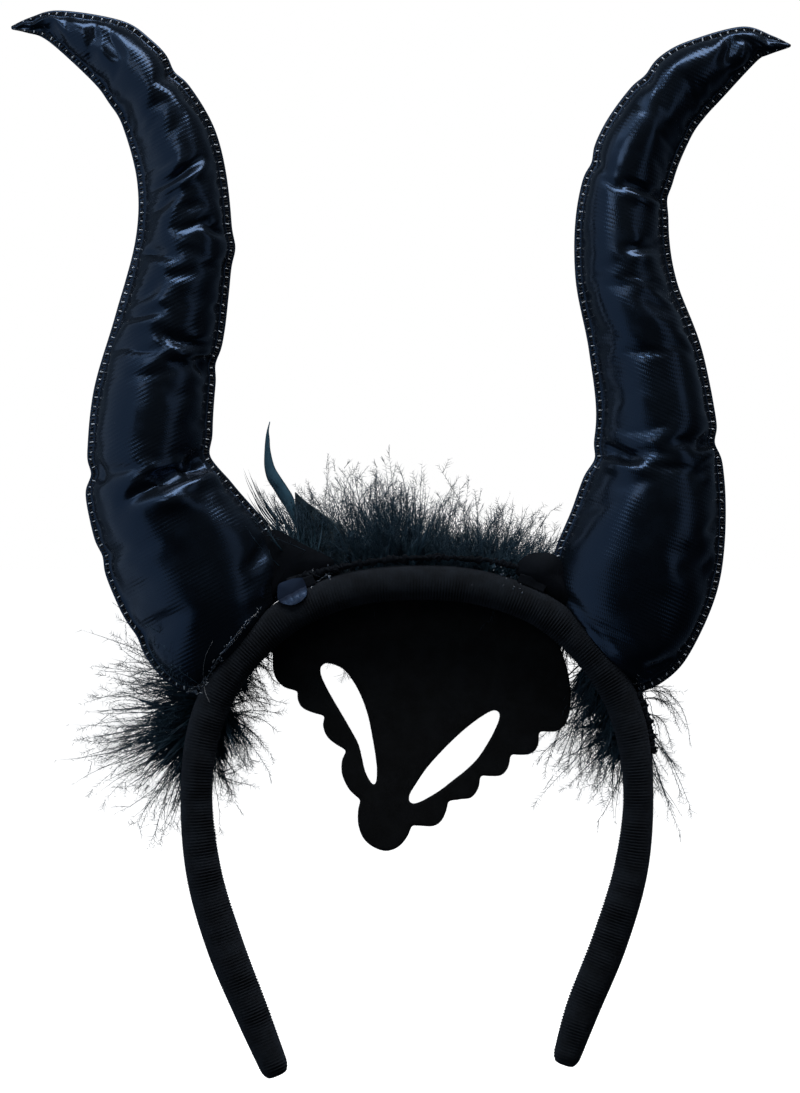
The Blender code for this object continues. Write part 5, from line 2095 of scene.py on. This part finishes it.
@dataclass
class StiffFeather:
    """One stiff feather: a thin cupped vane, drawn by its two edges."""

    name: str
    node: str
    edges: tuple
    cup: float
    crumple: float
    colour: tuple
    rim_colour: tuple
    gloss: float
    stations: int = 60
    across: int = 11
    thickness: float = 0.30

    def build(self) -> bpy.types.Object:
        """Shape a grid into the vane, cup and crumple it, and give it a thickness."""
        deselect_all()
        bpy.ops.mesh.primitive_grid_add(x_subdivisions=self.across - 1,
                                        y_subdivisions=self.stations - 1, size=2.0)
        vane = bpy.context.object
        vane.name = vane.data.name = self.name
        table = tuple((*at_pixel(*row[0:2]), *at_pixel(*row[2:4]), row[4])
                      for row in self.edges)
        rows = spline(table, 200)
        points = coordinates(vane)
        share = (points[:, 1] + 1) / 2
        grid = np.linspace(0.0, 1.0, len(rows))
        left_x, left_z, right_x, right_z, y = (np.interp(share, grid, column)
                                               for column in rows.T)
        over = (points[:, 0] + 1) / 2
        x = left_x + (right_x - left_x) * over
        z = left_z + (right_z - left_z) * over
        width = np.hypot(right_x - left_x, right_z - left_z)
        deep = y + self.cup * width * (points[:, 0] ** 2 - 0.5)
        folds = noise_at(np.column_stack([x, z, z * 0]) * (1.0, 0.5, 1.0), 3.2, 8.0)
        deep = deep + self.crumple * folds
        place(vane, np.column_stack([x, deep, z]) * MM)
        set_attribute(vane, "toward_tip", 1.0 - share)
        set_attribute(vane, "from_quill", np.abs(points[:, 0]))
        wall = vane.modifiers.new("wall", "SOLIDIFY")
        wall.thickness = self.thickness * MM
        wall.offset = 0.0
        apply_modifiers(vane)
        vane.data.shade_smooth()
        return vane

    def dress(self) -> None:
        """Build the feather and finish it."""
        finish = Vane(self.name + "_vane", self.colour, self.rim_colour, self.gloss)
        finish_piece(self.build(), Slot.FEATHER, [finish.make()], self.node)


@dataclass
class VinylTab:
    """The folded end of a horn's vinyl, glued on the band beside the horn."""

    node: str

    def build(self) -> bpy.types.Object:
        """Round a copy of the solid and puff it a little."""
        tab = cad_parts[self.node].copy()
        tab.data = tab.data.copy()
        tab.name = tab.data.name = self.node + "_fold"
        for key in list(tab.keys()):
            del tab[key]
        tab.parent = None
        bpy.context.scene.collection.objects.link(tab)
        activate(tab)
        bpy.ops.object.mode_set(mode="EDIT")
        bpy.ops.mesh.select_all(action="SELECT")
        bpy.ops.mesh.remove_doubles(threshold=0.00001)
        bpy.ops.mesh.tris_convert_to_quads()
        bpy.ops.object.mode_set(mode="OBJECT")
        bevel = tab.modifiers.new("edges", "BEVEL")
        bevel.width = 0.35 * MM
        bevel.segments = 2
        bevel.limit_method = "ANGLE"
        finer = tab.modifiers.new("finer", "SUBSURF")
        finer.levels = 2
        finer.render_levels = 2
        apply_modifiers(tab)
        points = coordinates(tab)
        dents = noise_at(points / MM, 3.0, 6.0) * 0.22
        place(tab, points + normals(tab) * (dents * MM)[:, None])
        tab.data.shade_smooth()
        return tab

    def dress(self) -> None:
        """Build the tab and finish it."""
        finish_piece(self.build(), Slot.VINYL, [made_once(SeamEdge())], self.node)


@dataclass
class VinylScrap:
    """A scrap of vinyl at a horn's corner: a closed outline, slightly domed."""

    name: str
    outline: tuple
    centre: tuple
    finish: Finish
    depth: float | None = None
    dome: float = 0.3
    thickness: float = 0.8
    lift: float = 0.45
    rings: int = 6

    def build(self, band: Headband) -> bpy.types.Object:
        """Draw the scrap's face as rings and give it a thickness.

        Args:
            band: The band that it lies on where it has no depth of its own.

        Returns:
            The scrap.
        """
        edge = np.array(FeltMask(band).smooth_run((*self.outline, self.outline[0])))[:-1:2]
        middle = np.array(at_pixel(*self.centre))
        deselect_all()
        bpy.ops.mesh.primitive_circle_add(vertices=len(edge), radius=1.0, fill_type="TRIFAN")
        scrap = bpy.context.object
        scrap.name = scrap.data.name = self.name
        bpy.ops.object.mode_set(mode="EDIT")
        bpy.ops.mesh.select_all(action="SELECT")
        bpy.ops.mesh.subdivide(number_cuts=self.rings - 1)
        bpy.ops.object.mode_set(mode="OBJECT")
        points = coordinates(scrap)
        turn = (np.arctan2(points[:, 0], points[:, 1]) / (2 * math.pi)) % 1.0
        half = math.pi / len(edge)
        slant = (turn * 2 * math.pi) % (2 * half) - half
        from_middle = np.hypot(points[:, 0], points[:, 1]) * np.cos(slant) / math.cos(half)
        grid = np.linspace(0.0, 1.0, len(edge) + 1)
        rim = read_rows(turn, grid, np.vstack([edge, edge[:1]]))
        spots = middle + (rim - middle) * from_middle[:, None]
        deep = (np.minimum(-band.surface_depth(spots), -3.4) - self.lift
                if self.depth is None else np.full(len(spots), self.depth))
        swell = self.dome * (1 - from_middle ** 2)
        place(scrap, np.column_stack([spots[:, 0], deep - swell, spots[:, 1]]) * MM)
        wall = scrap.modifiers.new("wall", "SOLIDIFY")
        wall.thickness = self.thickness * MM
        wall.offset = 1.0
        apply_modifiers(scrap)
        face_outwards(scrap)
        bpy.ops.object.shade_smooth_by_angle(angle=math.radians(50.0))
        return scrap

    def dress(self, band: Headband) -> None:
        """Build the scrap on the band and finish it."""
        finish_piece(self.build(band), Slot.VINYL, [made_once(self.finish)])


def vinyl_scraps() -> list[VinylScrap]:
    """The flap on the band by the left horn, and the folded corners of both horns, which also stand
    in for the shade there.
    """
    dull = PatentVinyl(name="flap_vinyl", colour=(0.009, 0.012, 0.022),
                       roughness=(0.36, 0.46), grain_depth=0.000004)
    # Painted shade: the two black corner folds are drawn over the whole dark corner by each horn,
    # which is partly fold and partly shade.
    black = SeamEdge("corner_vinyl")
    flap = ((278.6, 586), (279.6, 583.9), (290.5, 579.8), (300, 577.9), (303.2, 578.6),
            (306, 585.5), (308.3, 592), (305.5, 598), (298, 603.5), (290, 605.2),
            (282, 603.6), (278.6, 599), (278.2, 592))
    left = ((256, 540), (264, 532), (278, 531), (296, 541), (312, 549), (328, 557),
            (334, 563), (318, 571), (300, 577), (286, 583), (275, 592), (266, 600),
            (256, 592), (253, 562))
    right = ((517, 571), (520, 563), (527, 557.5), (538, 555.5), (549, 555.8), (556, 560),
             (560, 568), (562, 578), (567, 588), (573, 600), (564, 601), (553, 594),
             (541, 586), (528, 579))
    return [VinylScrap("vinyl_flap", flap, (292.5, 592), dull),
            VinylScrap("corner_fold_and_shade_left", left, (290, 562), black, depth=-1.2, dome=0.8),
            VinylScrap("corner_fold_and_shade_right", right, (546, 574), black, depth=-1.6, dome=1.6,
                       thickness=1.6)]


@dataclass
class GlueAndThread:
    """Drops, strings and a black bead of glue on the band's edge, and one loose thread."""

    surface: Surface
    seed: int = 9
    drop_sizes: tuple = (1.3, 0.55, 0.8)
    drop_lift: float = 0.08
    runs: tuple = (
        # from_column, from_row, to_column, to_row, drops, size, spread
        (311, 573, 330, 576, 22, 0.30, 0.8),
        (328, 566, 330, 576, 5, 0.28, 0.3),
        (424, 557, 436, 556, 8, 0.26, 0.4),
        (494, 566, 520, 590, 16, 0.26, 1.6),
        (526, 562, 552, 580, 14, 0.28, 0.7),
        (189, 692, 208, 682, 30, 0.46, 0.6),
        (190, 690, 204, 694, 10, 0.40, 0.5),
        (206, 680, 226, 648, 22, 0.34, 0.9),
        (226, 648, 262, 606, 26, 0.30, 0.8),
        (636, 676, 656, 742, 34, 0.30, 0.8),
        (650, 742, 652, 748, 3, 0.55, 0.2),
    )
    beads: tuple = (
        # from_column, from_row, to_column, to_row, drops, size, spread
        (300, 577, 346, 566, 26, 1.0, 0.25),
        (346, 566, 392, 559, 26, 1.0, 0.25),
        (392, 559, 436, 557, 26, 1.0, 0.25),
        (436, 557, 486, 560, 26, 0.9, 0.25),
        (486, 560, 524, 569, 22, 0.9, 0.25),
        (638, 692, 648, 722, 24, 1.0, 0.25),
        (648, 722, 653, 750, 20, 1.0, 0.25),
    )
    strings: tuple = (
        # column, row along each string of glue
        ((190, 690), (205, 681), (216, 663), (228, 646), (244, 628), (262, 606)),
        ((196, 688), (210, 674), (222, 655), (236, 640), (252, 618)),
        ((226, 652), (234, 640), (247, 622), (257, 615)),
        ((300, 579), (304, 584), (308, 590)),
        ((311, 588), (318, 581), (326, 576)),
        ((285, 585.5), (289, 582), (293, 579)),
        ((527, 560), (536, 566), (545, 580), (556, 592)),
        ((636, 678), (645, 700), (650, 722), (655, 745)),
        ((640, 684), (650, 706), (656, 738)),
    )
    thread: tuple = (
        # column, row
        (214, 641),
        (207, 655),
        (204, 672),
        (205, 688),
        (211, 703),
    )

    def drop_places(self, runs: tuple) -> list[Matrix]:
        """Scatter drops along runs, on whatever face lies there.

        Args:
            runs: Rows of the runs or beads table.

        Returns:
            A place for each drop.
        """
        chance = np.random.default_rng(self.seed)
        places: list[Matrix] = []
        for first_column, first_row, last_column, last_row, count, size, spread in runs:
            start = np.array(at_pixel(first_column, first_row))
            stop = np.array(at_pixel(last_column, last_row))
            for share in np.linspace(0.0, 1.0, count):
                x, z = start + (stop - start) * share + chance.normal(0.0, spread / 2, 2)
                y = self.surface.depth(x, z) - self.drop_lift
                sizes = size * chance.uniform(0.45, 1.2, 3) * self.drop_sizes
                turn = Matrix.Rotation(chance.uniform(0, 3.14), 4, "Y")
                places.append(stood(Vector((x, y, z)), turn @ Matrix.Diagonal((*sizes, 1.0))))
        return places

    def build_drops(self, name: str, runs: tuple) -> bpy.types.Object:
        """Model one drop and join its copies.

        Args:
            name: The piece's name.
            runs: Rows of the runs or beads table.

        Returns:
            The piece.
        """
        deselect_all()
        bpy.ops.mesh.primitive_ico_sphere_add(subdivisions=2, radius=1.0)
        drop = bpy.context.object
        bpy.ops.object.shade_smooth()
        return joined_copies(name, drop, self.drop_places(runs))

    def run(self, pixels: tuple, above: float, radius: float, wander: float,
            chance: np.random.Generator) -> tuple:
        """A thin strand that follows pixels over whatever face lies there.

        Args:
            pixels: The columns and rows that it passes.
            above: How far it stands off the face.
            radius: Its radius.
            wander: How far it strays.
            chance: Random numbers for the straying.

        Returns:
            One bundle for strands_piece().
        """
        dense = spline(tuple(at_pixel(*pixel) for pixel in pixels), 30)[:, :2]
        dense = dense + chance.normal(0.0, wander, dense.shape)
        deep = np.array([self.surface.depth(x, z) for x, z in dense]) - above
        lines = np.column_stack([dense[:, 0], deep, dense[:, 1]])[None]
        return lines, np.full((1, len(dense) - 1), radius), np.ones(1)

    def dress(self) -> None:
        """Build the drops, the strings and the thread and finish them."""
        chance = np.random.default_rng(self.seed + 1)
        glue = HotGlue().make()
        finish_piece(self.build_drops("glue_drops", self.runs), Slot.VINYL, [glue])
        black = made_once(SeamEdge("corner_vinyl"))
        finish_piece(self.build_drops("glue_bead", self.beads), Slot.VINYL, [black])
        strings = strands_piece("glue_strings", [self.run(pixels, 0.16, 0.12, 0.14, chance)
                                                 for pixels in self.strings])
        finish_piece(strings, Slot.VINYL, [glue])
        grey = SewingThread("grey_thread", (0.16, 0.17, 0.19))
        thread = strands_piece("loose_thread", [self.run(self.thread, 0.3, 0.085, 0.0, chance)])
        finish_piece(thread, Slot.VINYL, [grey.make()])


def band_cutter(band: Headband) -> bpy.types.Object:
    """The band grown by the gap, for cutting the horns' feet.

    Args:
        band: The band.

    Returns:
        A closed tube that is deleted after use.
    """
    stations = 92
    sides = 20
    places, outward, thickness = band.frames(stations)
    angle = np.linspace(0.0, 2 * math.pi, sides, endpoint=False)
    points = []
    for station in range(stations):
        radial, deep = band.section(angle, thickness[station], 0.15)
        spots = places[station] + outward[station] * radial[:, None]
        points.append(np.column_stack([spots[:, 0], deep, spots[:, 1]]))
    ends = [points[0].mean(axis=0), points[-1].mean(axis=0)]
    ring = np.arange(sides)
    following = (ring + 1) % sides
    quads = []
    for station in range(stations - 1):
        low = station * sides
        quads.append(np.column_stack([low + ring, low + following, low + sides + following,
                                      low + sides + ring]))
    last = (stations - 1) * sides
    pole = stations * sides
    fans = np.concatenate([
        np.column_stack([np.full(sides, pole), following, ring]),
        np.column_stack([np.full(sides, pole + 1), last + ring, last + following])])
    cutter = array_mesh("band_cutter", np.vstack([*points, *ends]) * MM,
                        np.concatenate(quads), fans)
    face_outwards(cutter)
    return cutter


# The studio


@dataclass
class Softbox:
    """One rectangular studio light, aimed at the headband."""

    name: str
    place: tuple
    size: tuple
    radiance: float
    colour: tuple = (1.0, 1.0, 1.0)
    aim: tuple = (0.0, 0.0, 0.03)

    def build(self) -> None:
        """Hang the light. Its power follows from its radiance and its area."""
        light = bpy.data.lights.new(self.name, "AREA")
        light.shape = "RECTANGLE"
        light.size, light.size_y = self.size
        light.energy = self.radiance * math.pi * self.size[0] * self.size[1]
        light.color = self.colour
        lamp = bpy.data.objects.new(self.name, light)
        lamp.location = self.place
        way = Vector(self.aim) - Vector(self.place)
        lamp.rotation_euler = way.to_track_quat("-Z", "Y").to_euler()
        lamp.visible_camera = False
        bpy.context.scene.collection.objects.link(lamp)


@dataclass
class Studio:
    """The pale floor, the white surroundings, the lights and the camera."""

    floor_z: float = -0.152
    floor_size: float = 60.0
    lens: float = 147.0
    sensor: float = 36.0
    lights: tuple = (
        Softbox("wall_left", (-1.15, -0.38, -0.02), (2.1, 2.6), 0.47, (0.72, 0.86, 1.0)),
        Softbox("upper_left", (-0.80, -0.45, 1.00), (0.9, 0.5), 0.9, (0.78, 0.90, 1.0)),
        Softbox("overhead", (0.15, -0.40, 1.05), (1.2, 0.40), 8.0),
        Softbox("key_upper_left", (-0.50, -1.15, 0.55), (0.45, 0.45), 2.3),
        Softbox("fill_right", (1.10, -0.75, 0.15), (0.45, 1.3), 0.40, (0.85, 0.92, 1.0)),
    )

    def build_camera(self) -> None:
        """Stand the camera level behind the headband, so that it frames the photograph."""
        tall = IMAGE_SIZE[1] * PIXEL_SIZE * MM
        distance = self.lens * tall / self.sensor
        centre = at_pixel(IMAGE_SIZE[0] / 2, IMAGE_SIZE[1] / 2)
        view = bpy.data.cameras.new("view")
        view.lens = self.lens
        view.sensor_width = self.sensor
        view.clip_start = 0.01
        view.clip_end = 200.0
        camera = bpy.data.objects.new("view", view)
        camera.location = (centre[0] * MM, -distance, centre[1] * MM)
        camera.rotation_euler = (math.pi / 2, 0.0, 0.0)
        bpy.context.scene.collection.objects.link(camera)
        bpy.context.scene.camera = camera

    def build_floor(self) -> None:
        """Lay the plain pale floor."""
        deselect_all()
        bpy.ops.mesh.primitive_plane_add(size=self.floor_size, location=(0, 0, self.floor_z))
        floor = bpy.context.object
        floor.name = "floor"
        material, _, _ = new_material("pale_floor", {
            "Base Color": (0.90, 0.90, 0.90, 1.0), "Roughness": 0.9,
            "Specular IOR Level": 0.1, "Emission Color": (1.0, 1.0, 1.0, 1.0),
            "Emission Strength": 1.0})
        floor.data.materials.append(material)
        floor.visible_glossy = False
        floor.visible_diffuse = False
        floor.visible_shadow = False

    def build_world(self) -> None:
        """Surround the headband with white for the camera, darker on the camera's side."""
        world = bpy.data.worlds.new("studio")
        bpy.context.scene.world = world
        world.use_nodes = True
        wires = Tree(world.node_tree)
        shell = world.node_tree.nodes["Background"]
        way = wires.add("ShaderNodeTexCoord")
        split = wires.add("ShaderNodeSeparateXYZ")
        wires.link(way.outputs["Generated"], split.inputs[0])
        behind = wires.ramp(split.outputs["Y"], 0.0, 0.75, 0.012, 0.12)
        seen = wires.add("ShaderNodeLightPath")
        lit = wires.math("MAXIMUM", behind, seen.outputs["Is Camera Ray"])
        wires.link(lit, shell.inputs["Strength"])
        tint = wires.mix_colour(seen.outputs["Is Camera Ray"], (0.55, 0.75, 1.0),
                                (1.0, 1.0, 1.0))
        wires.link(tint, shell.inputs["Color"])

    def build(self) -> None:
        """Build the whole studio."""
        bpy.context.scene.view_settings.view_transform = "Standard"
        self.build_camera()
        self.build_floor()
        self.build_world()
        for light in self.lights:
            light.build()


def spear_feather() -> StiffFeather:
    """The narrow blue-teal feather that stands up beside the left horn."""
    return StiffFeather(
        name="spear_vane", node="spear_feather", cup=0.16, crumple=0.0, gloss=0.42,
        colour=(0.034, 0.094, 0.145), rim_colour=(0.008, 0.022, 0.036),
        edges=(
            # left column, row, right column, row, y
            (269.0, 421, 269.4, 421, 6.4),
            (266.4, 430, 268.0, 430, 6.4),
            (265.0, 438, 268.8, 438, 6.4),
            (264.0, 450, 269.6, 450, 6.5),
            (263.8, 466, 273.6, 466, 6.8),
            (266.8, 479, 280.0, 477, 7.0),
            (272.5, 488, 286.0, 486, 7.2),
            (278.5, 498, 292.5, 497, 7.4),
            (284.5, 507, 294.4, 506, 7.5),
            (290.5, 518, 295.0, 517, 7.6),
            (300.0, 536, 302.4, 535, 7.5),
            (330.0, 587, 332.0, 586, 7.3),
        ))


def blade_feather() -> StiffFeather:
    """The broader dark feather at the spear's foot."""
    return StiffFeather(
        name="blade_vane", node="blade_feather", cup=0.03, crumple=0.55, gloss=0.30,
        colour=(0.006, 0.014, 0.022), rim_colour=(0.003, 0.005, 0.008),
        edges=(
            # left column, row, right column, row, y
            (294.4, 492, 295.4, 492, 6.0),
            (294.6, 500, 304.0, 500, 6.0),
            (294.8, 512, 320.0, 512, 6.0),
            (295.6, 528, 337.0, 524, 6.0),
            (300.0, 545, 346.0, 540, 6.0),
            (316.0, 566, 356.0, 562, 6.6),
            (346.0, 585, 360.0, 580, 7.0),
        ))


def main() -> None:
    """Build the studio and every piece of the headband, in order."""
    logging.basicConfig(level=logging.INFO, format="%(message)s")
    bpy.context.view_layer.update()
    Studio().build()
    band = Headband()
    wound = band.dress()
    cutter = band_cutter(band)
    skins = [horn.dress(band, cutter) for horn in (left_horn(), right_horn())]
    bpy.data.objects.remove(cutter)
    felt = FeltMask(band)
    felt.dress()
    Boa(band, felt).dress()
    for feather in (spear_feather(), blade_feather()):
        feather.dress()
    for node in ("horn_tab_left", "horn_tab_right"):
        VinylTab(node).dress()
    for scrap in vinyl_scraps():
        scrap.dress(band)
    GlueAndThread(Surface([wound, *skins])).dress()


if __name__ == "__main__":
    main()
